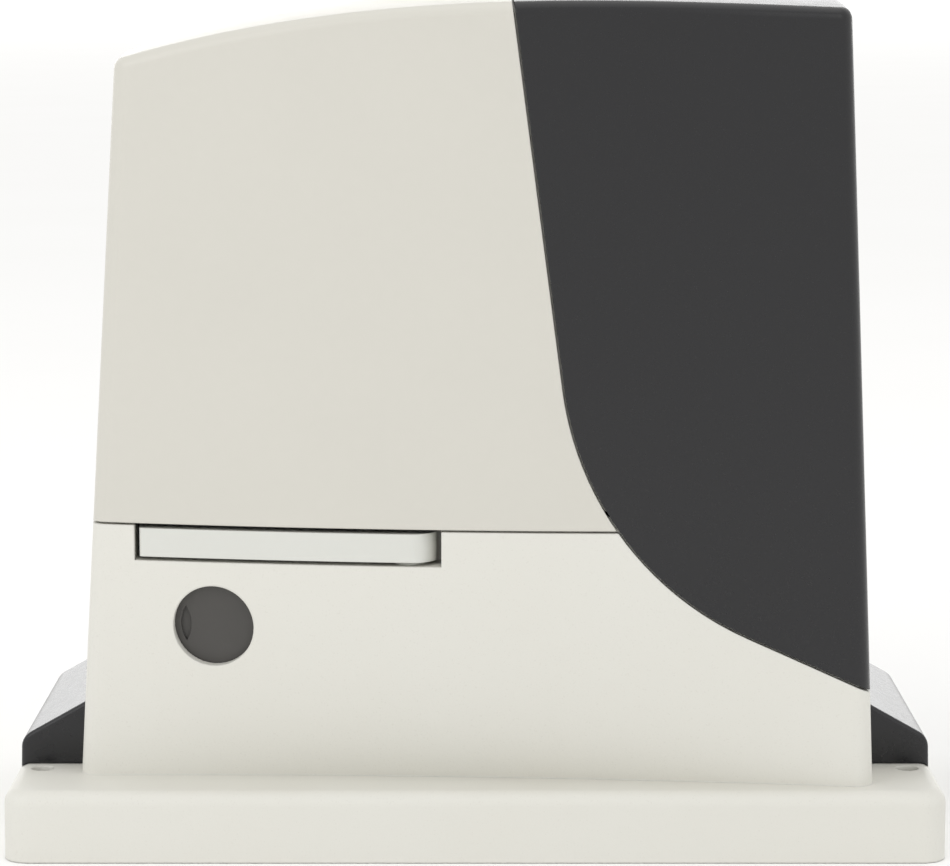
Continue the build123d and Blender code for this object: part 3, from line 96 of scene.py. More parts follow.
def arithmetic(tree, operation, first, second=0.0, clamp=False):
    """One arithmetic node, with its result socket given back."""
    node = add_node(tree, "ShaderNodeMath", operation=operation, use_clamp=clamp)
    feed(tree, node.inputs[0], first)
    feed(tree, node.inputs[1], second)
    return node.outputs[0]


def blend_colours(tree, share, first, second, mode="MIX"):
    """Mixes two colours by a share from 0 to 1."""
    node = add_node(tree, "ShaderNodeMix", data_type="RGBA", blend_type=mode)
    feed(tree, node.inputs["Factor"], share)
    feed(tree, node.inputs[6], first)
    feed(tree, node.inputs[7], second)
    return node.outputs[2]


def ramp(tree, value, low, high, to_low=0.0, to_high=1.0):
    """Carries value from the range low to high over to another range, and stops at its ends."""
    node = add_node(tree, "ShaderNodeMapRange")
    feed(tree, node.inputs["Value"], value)
    for label, number in (("From Min", low), ("From Max", high), ("To Min", to_low), ("To Max", to_high)):
        feed(tree, node.inputs[label], number)
    return node.outputs["Result"]


def noise(tree, scale, detail=2.0, roughness=0.5, vector=None):
    """Noise between 0 and 1 over the object's own coordinates."""
    node = add_node(tree, "ShaderNodeTexNoise")
    feed(tree, node.inputs["Scale"], scale)
    node.inputs["Detail"].default_value = detail
    node.inputs["Roughness"].default_value = roughness
    place = vector or add_node(tree, "ShaderNodeTexCoord").outputs["Object"]
    tree.links.new(place, node.inputs["Vector"])
    return node.outputs["Fac"]


def open_group(name, inputs, outputs):
    """A new node group with named sockets. An input is (label, kind, starting value)."""
    kinds = {"value": "NodeSocketFloat", "colour": "NodeSocketColor", "vector": "NodeSocketVector"}
    group = bpy.data.node_groups.new(name, "ShaderNodeTree")
    for label, kind, start in inputs:
        socket = group.interface.new_socket(name=label, in_out="INPUT", socket_type=kinds[kind])
        if start is not None:
            socket.default_value = start
    for label, kind in outputs:
        group.interface.new_socket(name=label, in_out="OUTPUT", socket_type=kinds[kind])
    return group, add_node(group, "NodeGroupInput").outputs, add_node(group, "NodeGroupOutput").inputs


print("node helpers ready")

# %% [markdown]
# ## The grain of moulded plastic
#
# Injection moulds are spark eroded, so a satin cover is never quite smooth: it has pits and bumps a few
# tenths of a millimetre across, and its colour drifts a little over tens of millimetres. The grain could be
# modelled, but millions of faces would do what one noise texture in a Bump node does. This group gives the
# height of the grain, the drifting colour and a slightly uneven roughness.

# %% Group: moulded grain
moulded_grain, given, gives = open_group(
    "moulded_grain",
    [("Colour", "colour", (0.5, 0.5, 0.5, 1.0)), ("Grain Size", "value", 0.4 * MM),
     ("Colour Drift", "value", 0.04), ("Roughness", "value", 0.4), ("Roughness Drift", "value", 0.06)],
    [("Colour", "colour"), ("Roughness", "value"), ("Height", "value")])
tree = moulded_grain
fine = noise(tree, arithmetic(tree, "DIVIDE", 1.0, given["Grain Size"]), detail=1.5)
broad = noise(tree, 22.0, detail=3.0)
flecks = noise(tree, 260.0, detail=2.0)
drift = arithmetic(tree, "MULTIPLY", arithmetic(tree, "SUBTRACT", broad, 0.5), given["Colour Drift"])
speck = arithmetic(tree, "MULTIPLY", arithmetic(tree, "SUBTRACT", flecks, 0.5),
                   arithmetic(tree, "MULTIPLY", given["Colour Drift"], 0.6))
level = arithmetic(tree, "ADD", arithmetic(tree, "ADD", drift, speck), 1.0)
tint = add_node(tree, "ShaderNodeVectorMath", operation="SCALE")
feed(tree, tint.inputs[0], given["Colour"])
feed(tree, tint.inputs["Scale"], level)
uneven = arithmetic(tree, "MULTIPLY", arithmetic(tree, "SUBTRACT", flecks, 0.5), given["Roughness Drift"])
feed(tree, gives["Colour"], tint.outputs[0])
feed(tree, gives["Roughness"], arithmetic(tree, "ADD", given["Roughness"], uneven, clamp=True))
feed(tree, gives["Height"], fine)
print("group", moulded_grain.name, "has", len(tree.nodes), "nodes")

# %% [markdown]
# ## The skin of powder paint
#
# The base is cast aluminium under powder paint. Such paint melts and levels only in part, so it keeps a soft
# pebble pattern about a millimetre across with a finer grit on top, and a few darker specks. Two noises and a
# smooth cell texture, added in different amounts, give that height. The specks are the rare peaks of a
# third noise.

# %% Group: powder paint
powder_paint, given, gives = open_group(
    "powder_paint",
    [("Colour", "colour", (0.5, 0.5, 0.5, 1.0)), ("Speck Colour", "colour", (0.3, 0.28, 0.25, 1.0)),
     ("Pebble Size", "value", 1.1 * MM), ("Roughness", "value", 0.5)],
    [("Colour", "colour"), ("Roughness", "value"), ("Height", "value")])
tree = powder_paint
pebble_scale = arithmetic(tree, "DIVIDE", 1.0, given["Pebble Size"])
pebbles = noise(tree, pebble_scale, detail=2.0, roughness=0.55)
grit = noise(tree, arithmetic(tree, "MULTIPLY", pebble_scale, 3.4), detail=1.0)
cells = add_node(tree, "ShaderNodeTexVoronoi", feature="SMOOTH_F1")
feed(tree, cells.inputs["Vector"], add_node(tree, "ShaderNodeTexCoord").outputs["Object"])
feed(tree, cells.inputs["Scale"], arithmetic(tree, "MULTIPLY", pebble_scale, 0.8))
height = arithmetic(tree, "ADD", arithmetic(tree, "MULTIPLY", pebbles, 0.7),
                    arithmetic(tree, "MULTIPLY", grit, 0.25))
height = arithmetic(tree, "SUBTRACT", height, arithmetic(tree, "MULTIPLY", cells.outputs["Distance"], 0.35))
specks = ramp(tree, noise(tree, 1600.0, detail=0.0), 0.70, 0.78)
stains = ramp(tree, noise(tree, 16.0, detail=4.0), 0.35, 0.75, 0.0, 0.05)
colour = blend_colours(tree, stains, given["Colour"], (0.62, 0.56, 0.45, 1.0))
colour = blend_colours(tree, arithmetic(tree, "MULTIPLY", specks, 0.10), colour, given["Speck Colour"])
feed(tree, gives["Colour"], colour)
feed(tree, gives["Roughness"], arithmetic(tree, "ADD", given["Roughness"],
                                          arithmetic(tree, "MULTIPLY", grit, 0.12), clamp=True))
feed(tree, gives["Height"], height)
print("group", powder_paint.name, "has", len(tree.nodes), "nodes")

# %% [markdown]
# ## Edges that catch the light
#
# No real edge is perfectly sharp. A mould leaves a radius of a few tenths of a millimetre, and paint runs
# round it, so edges show as thin bright or worn lines. The Bevel node looks round the surface within a
# radius and gives the normal that a rounded edge would have. Where that normal differs from the surface's
# own one, there is an edge, and the same difference makes a mask that the finishes use to lighten edges:
# a painted highlight, broken up by noise so that it also reads as wear.

# %% Group: soft edges
soft_edges, given, gives = open_group(
    "soft_edges", [("Radius", "value", 0.5 * MM), ("Breakup", "value", 0.5)],
    [("Normal", "vector"), ("Mask", "value")])
tree = soft_edges
bevel = add_node(tree, "ShaderNodeBevel", samples=6)
feed(tree, bevel.inputs["Radius"], given["Radius"])
surface = add_node(tree, "ShaderNodeNewGeometry")
agree = add_node(tree, "ShaderNodeVectorMath", operation="DOT_PRODUCT")
feed(tree, agree.inputs[0], bevel.outputs["Normal"])
feed(tree, agree.inputs[1], surface.outputs["Normal"])
edge = ramp(tree, agree.outputs["Value"], 0.99, 0.8)
patchy = ramp(tree, noise(tree, 420.0, detail=3.0), 0.35, 0.65)
kept = arithmetic(tree, "SUBTRACT", 1.0, arithmetic(tree, "MULTIPLY", given["Breakup"],
                                                    arithmetic(tree, "SUBTRACT", 1.0, patchy)))
feed(tree, gives["Normal"], bevel.outputs["Normal"])
# The mask, broken up by noise, is used by the finishes for a painted highlight with some wear on edges.
feed(tree, gives["Mask"], arithmetic(tree, "MULTIPLY", edge, kept, clamp=True))
print("group", soft_edges.name, "has", len(tree.nodes), "nodes")

# %% [markdown]
# ## Dust on upward faces
#
# An operator stands outdoors by a gate. Even a clean one carries a trace of dust where a face looks up. The
# object's own normal tells which faces those are, and a noise keeps the film uneven.

# %% Group: settled dust
settled_dust, given, gives = open_group("settled_dust", [("Amount", "value", 0.2)], [("Mask", "value")])
tree = settled_dust
faces_up = add_node(tree, "ShaderNodeSeparateXYZ")
feed(tree, faces_up.inputs[0], add_node(tree, "ShaderNodeTexCoord").outputs["Normal"])
upward = ramp(tree, faces_up.outputs["Z"], 0.55, 0.95)
film = ramp(tree, noise(tree, 60.0, detail=5.0, roughness=0.65), 0.35, 0.7, 0.3, 1.0)
dust = arithmetic(tree, "MULTIPLY", arithmetic(tree, "MULTIPLY", upward, film), given["Amount"], clamp=True)
feed(tree, gives["Mask"], dust)
print("group", settled_dust.name, "has", len(tree.nodes), "nodes")

# %% [markdown]
# ## Tool marks on metal
#
# A lathe or a drawing die leaves fine lines, and they run round the axis of the piece. A noise that is
# squeezed along that axis and stretched across it looks the same. The group takes the squeeze as a vector,
# so one group serves the shafts along Y, the rotor along Z and flat brushed faces.

# %% Group: tool marks
tool_marks, given, gives = open_group(
    "tool_marks", [("Squeeze", "vector", (200.0, 4000.0, 200.0)), ("Roughness", "value", 0.3)],
    [("Height", "value"), ("Roughness", "value"), ("Shade", "value")])
tree = tool_marks
stretched = add_node(tree, "ShaderNodeVectorMath", operation="MULTIPLY")
feed(tree, stretched.inputs[0], add_node(tree, "ShaderNodeTexCoord").outputs["Object"])
feed(tree, stretched.inputs[1], given["Squeeze"])
lines = noise(tree, 1.0, detail=3.0, roughness=0.6, vector=stretched.outputs[0])
smudge = noise(tree, 90.0, detail=3.0)
feed(tree, gives["Height"], lines)
feed(tree, gives["Roughness"], arithmetic(
    tree, "ADD", given["Roughness"],
    arithmetic(tree, "MULTIPLY", arithmetic(tree, "SUBTRACT", smudge, 0.5), 0.22), clamp=True))
feed(tree, gives["Shade"], arithmetic(tree, "ADD", arithmetic(tree, "MULTIPLY", lines, 0.25), 0.85))
print("group", tool_marks.name, "has", len(tree.nodes), "nodes")

# %% [markdown]
# ## Stacked sheets and wound wire
#
# Motor cores are stacks of sheet steel half a millimetre thick, and coils are rows of round wire. Both are
# even lines along one axis. A wave texture gives them, with a little noise in its phase so that the lines
# aren't ruled. The axis is picked by a vector that is one along it and zero across.

# %% Group: even layers
even_layers, given, gives = open_group(
    "even_layers", [("Axis", "vector", (0.0, 0.0, 1.0)), ("Layer", "value", 0.5 * MM)],
    [("Height", "value"), ("Shade", "value")])
tree = even_layers
along = add_node(tree, "ShaderNodeVectorMath", operation="DOT_PRODUCT")
feed(tree, along.inputs[0], add_node(tree, "ShaderNodeTexCoord").outputs["Object"])
feed(tree, along.inputs[1], given["Axis"])
turns = arithmetic(tree, "DIVIDE", along.outputs["Value"], given["Layer"])
wobble = arithmetic(tree, "MULTIPLY", noise(tree, 300.0, detail=1.0), 0.6)
angle = arithmetic(tree, "MULTIPLY", arithmetic(tree, "ADD", turns, wobble), 2 * math.pi)
round_top = arithmetic(tree, "ABSOLUTE", arithmetic(tree, "SINE", arithmetic(tree, "MULTIPLY", angle, 0.5)))
feed(tree, gives["Height"], round_top)
# Shade darkens the grooves between the rounded layers: painted shade.
feed(tree, gives["Shade"], ramp(tree, round_top, 0.0, 0.5, 0.45, 1.0))
print("group", even_layers.name, "has", len(tree.nodes), "nodes")

# %% [markdown]
# ## One material for each finish
#
# The record names a material slot for every piece. Each slot gets one node material here, kept by name in
# a dictionary. A material starts from the same few parts: the Principled shader, a Bump node for the fine
# height, and the soft edge normal beneath the bump, so that edges and grain work together.

# %% Start of a material
finishes = {}
slot_names = {row["node"]: row["material_slot"] for row in frame["record"]["subparts"]}


def start_finish(slot_name, edge_radius, bump_depth):
    """A material with a Principled shader, a Bump node of a given depth in metres, and soft edges."""
    finish = bpy.data.materials.new(slot_name)
    finish.use_nodes = True
    tree = finish.node_tree
    tree.nodes.clear()
    shader = add_node(tree, "ShaderNodeBsdfPrincipled")
    output = add_node(tree, "ShaderNodeOutputMaterial")
    tree.links.new(shader.outputs[0], output.inputs["Surface"])
    edges = add_node(tree, "ShaderNodeGroup", node_tree=soft_edges)
    edges.inputs["Radius"].default_value = edge_radius
    bump = add_node(tree, "ShaderNodeBump")
    bump.inputs["Strength"].default_value = 1.0
    bump.inputs["Distance"].default_value = bump_depth
    tree.links.new(edges.outputs["Normal"], bump.inputs["Normal"])
    tree.links.new(bump.outputs[0], shader.inputs["Normal"])
    finishes[slot_name] = finish
    return tree, shader, bump, edges


def place_group(tree, group, **values):
    """Puts a group into a material and sets its inputs; a space in a label is written as an underscore."""
    node = add_node(tree, "ShaderNodeGroup", node_tree=group)
    for label, value in values.items():
        feed(tree, node.inputs[label.replace("_", " ")], value)
    return node


print("the record names", len(set(slot_names.values())), "finishes for", len(slot_names), "pieces")

# %% [markdown]
# ## Satin plastic covers
#
# The two covers, the handle, the lock's shutter and the bolt covers are moulded plastic with a satin
# surface. What tells them apart is colour, how fine the grain is and how shiny they are. The edge mask
# lightens the edges a little, a painted highlight with some wear from handling, and dust dulls what faces up.

# %% Moulded plastics
DUST = (0.60, 0.57, 0.50, 1.0)
PLASTIC_IOR = 1.49


def moulded(slot_name, colour, rough, grain=0.35 * MM, depth=0.02 * MM, drift=0.05, edge_radius=0.5 * MM,
            edge_highlight_and_wear=0.15, dust=0.0):
    """A moulded plastic finish. Sizes are in metres, the other numbers are shares."""
    tree, shader, bump, edges = start_finish(slot_name, edge_radius, depth)
    grain_node = place_group(tree, moulded_grain, Colour=(*colour, 1.0), Grain_Size=grain, Colour_Drift=drift,
                             Roughness=rough)
    # The edge mask blends edges towards this lighter colour: a painted highlight, with some wear.
    lighter = tuple(min(1.0, c * 1.25 + 0.02) for c in colour) + (1.0,)
    share = arithmetic(tree, "MULTIPLY", edges.outputs["Mask"], edge_highlight_and_wear)
    skin = blend_colours(tree, share, grain_node.outputs["Colour"], lighter)
    roughness = grain_node.outputs["Roughness"]
    if dust:
        film = place_group(tree, settled_dust, Amount=dust).outputs["Mask"]
        skin = blend_colours(tree, film, skin, DUST)
        roughness = arithmetic(tree, "ADD", roughness, arithmetic(tree, "MULTIPLY", film, 0.4), clamp=True)
    tree.links.new(skin, shader.inputs["Base Color"])
    tree.links.new(roughness, shader.inputs["Roughness"])
    tree.links.new(grain_node.outputs["Height"], bump.inputs["Height"])
    shader.inputs["IOR"].default_value = PLASTIC_IOR


moulded("light_plastic", (0.620, 0.605, 0.550), 0.34, depth=0.010 * MM, drift=0.03,
        edge_radius=0.9 * MM, edge_highlight_and_wear=0.5, dust=0.10)
moulded("dark_plastic", (0.0085, 0.0085, 0.0100), 0.27, grain=0.45 * MM, depth=0.006 * MM, drift=0.10,
        edge_radius=0.9 * MM, edge_highlight_and_wear=0.4, dust=0.015)
moulded("handle_plastic", (0.66, 0.665, 0.625), 0.34, depth=0.010 * MM, drift=0.02,
        edge_radius=0.5 * MM, edge_highlight_and_wear=0.4)
moulded("shutter_plastic", (0.060, 0.057, 0.053), 0.55, grain=0.5 * MM, depth=0.03 * MM, drift=0.2)
moulded("black_plastic", (0.018, 0.018, 0.019), 0.45, depth=0.010 * MM, drift=0.1, dust=0.03)
moulded("terminal_green", (0.03, 0.30, 0.12), 0.42, drift=0.08, edge_radius=0.2 * MM)
moulded("relay_blue", (0.03, 0.09, 0.34), 0.30, depth=0.008 * MM, drift=0.06, edge_radius=0.3 * MM)
moulded("winding_tape", (0.72, 0.52, 0.12), 0.35, grain=1.2 * MM, depth=0.06 * MM, drift=0.15,
        edge_radius=0.6 * MM)
print("moulded finishes:", sorted(finishes))

# %% [markdown]
# ## Painted casting
#
# The base is the one powder painted piece. The soft edge mask paints a slightly lighter line on its edges,
# partly a painted highlight and partly paint running thin there, and the flange's top gathers some dust.

# %% Painted casting
tree, shader, bump, edges = start_finish("cast_paint", 1.0 * MM, 0.05 * MM)
paint = place_group(tree, powder_paint, Colour=(0.710, 0.702, 0.652, 1.0),
                    Speck_Colour=(0.42, 0.38, 0.33, 1.0), Pebble_Size=1.2 * MM, Roughness=0.48)
film = place_group(tree, settled_dust, Amount=0.12).outputs["Mask"]
# A lighter colour blended in by the edge mask: painted highlight on the edges, partly thin paint.
skin = blend_colours(tree, arithmetic(tree, "MULTIPLY", edges.outputs["Mask"], 0.35), paint.outputs["Colour"],
                     (0.86, 0.85, 0.81, 1.0))
skin = blend_colours(tree, film, skin, DUST)
tree.links.new(skin, shader.inputs["Base Color"])
tree.links.new(paint.outputs["Roughness"], shader.inputs["Roughness"])
tree.links.new(paint.outputs["Height"], bump.inputs["Height"])
print("painted casting ready")

# %% [markdown]
# ## Machined and plated metals
#
# Metals differ in colour, in how rough they are and in which way the tool marks run. Shafts, rings and the
# wheel lie along Y, the rotor and the motor along Z. A die casting has no tool marks, so it gets a
# fine random grain instead.

# %% Metals
ALONG_Y = (220.0, 5200.0, 220.0)
ALONG_Z = (220.0, 220.0, 5200.0)
ALL_WAYS = (1500.0, 1500.0, 1500.0)


def metal(slot_name, colour, rough, squeeze, depth=0.006 * MM, edge_radius=0.25 * MM, edge_highlight_and_wear=0.6):
    """A bare or plated metal finish."""
    tree, shader, bump, edges = start_finish(slot_name, edge_radius, depth)
    marks = place_group(tree, tool_marks, Squeeze=squeeze, Roughness=rough)
    shade = add_node(tree, "ShaderNodeVectorMath", operation="SCALE")
    feed(tree, shade.inputs[0], colour)
    feed(tree, shade.inputs["Scale"], marks.outputs["Shade"])
    # The edge mask blends edges towards this lighter colour: a painted highlight, with some wear.
    lighter = tuple(min(1.0, c * 1.2 + 0.05) for c in colour) + (1.0,)
    share = arithmetic(tree, "MULTIPLY", edges.outputs["Mask"], edge_highlight_and_wear)
    tree.links.new(blend_colours(tree, share, shade.outputs[0], lighter), shader.inputs["Base Color"])
    tree.links.new(marks.outputs["Roughness"], shader.inputs["Roughness"])
    tree.links.new(marks.outputs["Height"], bump.inputs["Height"])
    shader.inputs["Metallic"].default_value = 1.0


metal("steel", (0.55, 0.55, 0.56), 0.30, ALONG_Y)
metal("zinc_steel", (0.66, 0.665, 0.65), 0.34, ALONG_Y)
metal("bearing_steel", (0.70, 0.70, 0.70), 0.18, ALONG_Y, depth=0.003 * MM)
metal("bronze", (0.66, 0.46, 0.22), 0.34, ALONG_Y)
metal("brass", (0.78, 0.60, 0.28), 0.28, ALONG_Y)
metal("zinc_can", (0.56, 0.57, 0.56), 0.36, ALONG_Z, depth=0.010 * MM)
metal("cast_metal", (0.62, 0.62, 0.62), 0.50, ALL_WAYS, depth=0.05 * MM, edge_radius=0.5 * MM)
metal("sink_aluminium", (0.10, 0.10, 0.105), 0.38, ALONG_Z, edge_highlight_and_wear=0.35)
print("metals:", [name for name in finishes if finishes[name].node_tree.nodes["Principled BSDF"]
                  .inputs["Metallic"].default_value == 1.0])

# %% [markdown]
# ## Rubber, ferrite, carbon
#
# These are dull dark solids. The grain group serves again, with coarser pits and a high roughness.

# %% Dull solids
moulded("black_rubber", (0.022, 0.022, 0.022), 0.72, grain=0.8 * MM, depth=0.05 * MM, drift=0.3, dust=0.2)
moulded("ferrite", (0.085, 0.085, 0.09), 0.62, grain=0.6 * MM, depth=0.04 * MM, drift=0.3)
moulded("carbon", (0.040, 0.040, 0.042), 0.55, grain=0.5 * MM, depth=0.03 * MM, drift=0.3)
print("dull solids ready")

# %% [markdown]
# ## Steel stacks and copper
#
# The cores of the motor and the transformer show the edges of their sheets, and the coils show their turns.
# Modelling hundreds of sheets and wires would make a heavy mesh that nobody sees closed. The layer group
# draws them instead, with a bump that rounds each one and painted shade in the grooves between the layers.

# %% Cores and copper


def layered(slot_name, colour, rough, axis, layer, depth):
    """A metal in even layers along one axis."""
    tree, shader, bump, edges = start_finish(slot_name, 0.3 * MM, depth)
    layers = place_group(tree, even_layers, Axis=axis, Layer=layer)
    # The layers' Shade output darkens the grooves between them: painted shade.
    shade = add_node(tree, "ShaderNodeVectorMath", operation="SCALE")
    feed(tree, shade.inputs[0], colour)
    feed(tree, shade.inputs["Scale"], layers.outputs["Shade"])
    tree.links.new(shade.outputs[0], shader.inputs["Base Color"])
    tree.links.new(layers.outputs["Height"], bump.inputs["Height"])
    shader.inputs["Metallic"].default_value = 0.85
    shader.inputs["Roughness"].default_value = rough


layered("laminations", (0.36, 0.35, 0.34), 0.45, (1.0, 0.0, 0.35), 0.9 * MM, 0.12 * MM)
layered("copper", (0.72, 0.30, 0.14), 0.32, (0.0, 0.0, 1.0), 0.8 * MM, 0.18 * MM)
print("layered metals ready")

# %% [markdown]
# ## The lacquered board
#
# A circuit board is glass fibre with copper tracks under green lacquer, so the tracks show as slightly
# raised, lighter lines. They could be modelled or painted as an image. A brick texture with uneven rows
# gives straight tracks of different lengths in one node, and its gaps serve for the colour and the bump.

# %% The lacquered board
tree, shader, bump, edges = start_finish("board_green", 0.2 * MM, 0.035 * MM)
flat_place = add_node(tree, "ShaderNodeTexCoord").outputs["Object"]
tracks = add_node(tree, "ShaderNodeTexBrick", offset=0.37, squash=0.6, squash_frequency=3)
spread = add_node(tree, "ShaderNodeMapping")
spread.inputs["Rotation"].default_value = (math.radians(90), 0.0, 0.0)
tree.links.new(flat_place, spread.inputs["Vector"])
tree.links.new(spread.outputs[0], tracks.inputs["Vector"])
for label, number in (("Scale", 110.0), ("Mortar Size", 0.035), ("Brick Width", 0.9), ("Row Height", 0.42)):
    tracks.inputs[label].default_value = number
copper_lines = arithmetic(tree, "SUBTRACT", 1.0, tracks.outputs["Fac"])
lacquer = blend_colours(tree, copper_lines, (0.018, 0.15, 0.055, 1.0), (0.012, 0.10, 0.038, 1.0))
tree.links.new(lacquer, shader.inputs["Base Color"])
tree.links.new(tracks.outputs["Fac"], bump.inputs["Height"])
shader.inputs["Roughness"].default_value = 0.28
shader.inputs["Coat Weight"].default_value = 0.3
print("board lacquer ready")

# %% [markdown]
# ## Capacitor sleeves and the fuse's glass
#
# A capacitor is an aluminium can in a dark plastic sleeve that leaves the can's round front bare. Both are
# one CAD piece. The object's own normal tells the front from the side, so one material can hold both. The
# fuse is a clear tube, made with transmission and a very low roughness.

# %% Capacitor sleeves and the fuse's glass
tree, shader, bump, edges = start_finish("capacitor_sleeve", 0.4 * MM, 0.01 * MM)
sleeve = place_group(tree, moulded_grain, Colour=(0.012, 0.016, 0.05, 1.0), Grain_Size=0.5 * MM,
                     Colour_Drift=0.1, Roughness=0.25)
facing = add_node(tree, "ShaderNodeSeparateXYZ")
feed(tree, facing.inputs[0], add_node(tree, "ShaderNodeTexCoord").outputs["Normal"])
bare_top = ramp(tree, facing.outputs["Y"], -0.85, -0.95)
tree.links.new(blend_colours(tree, bare_top, sleeve.outputs["Colour"], (0.72, 0.72, 0.72, 1.0)),
               shader.inputs["Base Color"])
tree.links.new(bare_top, shader.inputs["Metallic"])
tree.links.new(sleeve.outputs["Roughness"], shader.inputs["Roughness"])
tree.links.new(sleeve.outputs["Height"], bump.inputs["Height"])

tree, shader, bump, edges = start_finish("fuse_glass", 0.2 * MM, 0.002 * MM)
tree.links.new(noise(tree, 900.0), bump.inputs["Height"])
shader.inputs["Base Color"].default_value = (0.93, 0.96, 0.96, 1.0)
shader.inputs["Roughness"].default_value = 0.04
shader.inputs["Transmission Weight"].default_value = 0.9
print("special finishes ready, in all", len(finishes))

# %% [markdown]
# ## Dressing the pieces
#
# Every CAD piece takes the finish that the record names for it. Some of the CAD pieces have more than one
# material slot on the mesh, and all of them are set, so nothing keeps its plain import material.

# %% Give each piece its finish
for node_name, piece in frame["nodes"].items():
    finish = finishes[slot_names[node_name]]
    if not piece.material_slots:
        piece.data.materials.append(finish)
    for slot in piece.material_slots:
        slot.material = finish
missing = sorted(set(slot_names.values()) - set(finishes))
print("dressed", len(frame["nodes"]), "pieces; finishes missing:", missing)

# %% [markdown]
# ## Small parts on the control board
#
# The board shows when the lid is off. CAD holds the larger parts. What else makes a board look like one is
# small: chips with legs, rows of resistors, status lamps, and the screws of the terminals. Each group is one
# mesh built with bmesh from a few sizes, and it rides on the base as the board does. One mesh for a group
# keeps the list of pieces short, and nobody moves a single resistor.

# %% Helpers for small meshes
board_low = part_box("control_board")[0]
board_face = board_low.y


def add_block(mesh, centre, size, chamfer=0.0):
    """Adds a box to a bmesh, with its edges cut by chamfer."""
    place = Matrix.Translation(centre) @ Matrix.Diagonal((*size, 1.0))
    made = bmesh.ops.create_cube(mesh, size=1.0, matrix=place)
    if chamfer:
        edges = {e for v in made["verts"] for e in v.link_edges}
        bmesh.ops.bevel(mesh, geom=list(edges), offset=chamfer, segments=2, affect="EDGES")


def add_bar(mesh, centre, radius, length, axis, sides=20):
    """Adds a round bar along X or Y, its two ends closed."""
    turn = {"X": Matrix.Rotation(math.radians(90), 4, "Y"),
            "Y": Matrix.Rotation(math.radians(90), 4, "X")}[axis]
    bmesh.ops.create_cone(mesh, segments=sides, radius1=radius, radius2=radius, depth=length, cap_ends=True,
                          matrix=Matrix.Translation(centre) @ turn)


def finish_piece(name, mesh, slot_name, body, smooth=False):
    """Turns a bmesh into a named piece with its finish, riding on a body."""
    data = bpy.data.meshes.new(name)
    mesh.to_mesh(data)
    mesh.free()
    for face in data.polygons:
        face.use_smooth = smooth
    piece = bpy.data.objects.new(name, data)
    bpy.context.scene.collection.objects.link(piece)
    data.materials.append(finishes[slot_name])
    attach(piece, body)
    print(name, "has", len(data.polygons), "faces")


# %% [markdown]
# ### Chips
#
# A surface-mounted chip is a flat black block with bent legs along two sides, 1.27 mm apart. Each leg is
# two small bars here, one out and one down, which is enough for the bend to show. The block has a chamfer,
# since moulded chip bodies are never sharp.

# %% The controller chip and two smaller ones
CHIP_PITCH = 1.27 * MM
chips = bmesh.new()
chip_legs = bmesh.new()
chip_places = [  # offset from the board's lower left corner, size across and up, in metres
    (0.030, 0.086, 0.0075, 0.0155), (0.045, 0.086, 0.0060, 0.0100), (0.013, 0.126, 0.0060, 0.0075)]
for right, up, wide, tall in chip_places:
    centre = Vector((board_low.x + right, board_face - 1.3 * MM, board_low.z + up))
    add_block(chips, centre, (wide, 2.0 * MM, tall), 0.25 * MM)
    for row in range(int((tall - 1.5 * MM) / CHIP_PITCH) + 1):
        z = centre.z - tall / 2 + 1.0 * MM + row * CHIP_PITCH
        for side in (-1, 1):
            x = centre.x + side * (wide / 2 + 0.55 * MM)
            add_block(chip_legs, (x, board_face - 0.9 * MM, z), (1.1 * MM, 0.25 * MM, 0.45 * MM))
            add_block(chip_legs, (x + side * 0.5 * MM, board_face - 0.45 * MM, z),
                      (0.25 * MM, 0.9 * MM, 0.45 * MM))
finish_piece("board_chips", chips, "black_plastic", "base")
finish_piece("board_chip_legs", chip_legs, "zinc_steel", "base")

# %% [markdown]
# ### Resistors and status lamps
#
# Small resistors are black bricks with a tinned band at either end, set in rows by a machine, so a loop
# over a pitch is true to them. A status lamp is a short round post with a domed tip: a bar and a sphere.

# %% Resistors in two rows
RESISTOR_PITCH = 3.4 * MM
resistors = bmesh.new()
resistor_ends = bmesh.new()
for row, count in ((0.0725, 7), (0.0785, 5)):
    for n in range(count):
        x = board_low.x + 0.028 + n * RESISTOR_PITCH
        z = board_low.z + row
        add_block(resistors, (x, board_face - 0.35 * MM, z), (1.5 * MM, 0.6 * MM, 1.6 * MM), 0.08 * MM)
        for side in (-1, 1):
            add_block(resistor_ends, (x, board_face - 0.35 * MM, z + side * 1.0 * MM),
                      (1.5 * MM, 0.66 * MM, 0.5 * MM))
finish_piece("board_resistors", resistors, "black_plastic", "base")
finish_piece("board_resistor_ends", resistor_ends, "zinc_steel", "base")

# %% Status lamps
LAMP_PITCH = 5.0 * MM
LAMP_RADIUS = 1.3 * MM
LAMP_POST = 2.4 * MM
lamps = bmesh.new()
lamp_z = board_low.z + 0.045
for n in range(6):
    x = board_low.x + 0.0335 + n * LAMP_PITCH
    add_bar(lamps, (x, board_face - LAMP_POST / 2, lamp_z), LAMP_RADIUS, LAMP_POST, "Y")
    bmesh.ops.create_uvsphere(lamps, u_segments=16, v_segments=8, radius=LAMP_RADIUS,
                              matrix=Matrix.Translation((x, board_face - LAMP_POST, lamp_z)))
finish_piece("board_lamps", lamps, "terminal_green", "base", smooth=True)

# %% [markdown]
# ### Screws in the terminals
#
# Each pole of a terminal block has a slotted screw at the bottom of a round well. The CAD blocks have the
# wells. A screw head is a short bar here, and its slot is the gap between two raised bars, which is simpler
# than a cut and looks the same at this size.

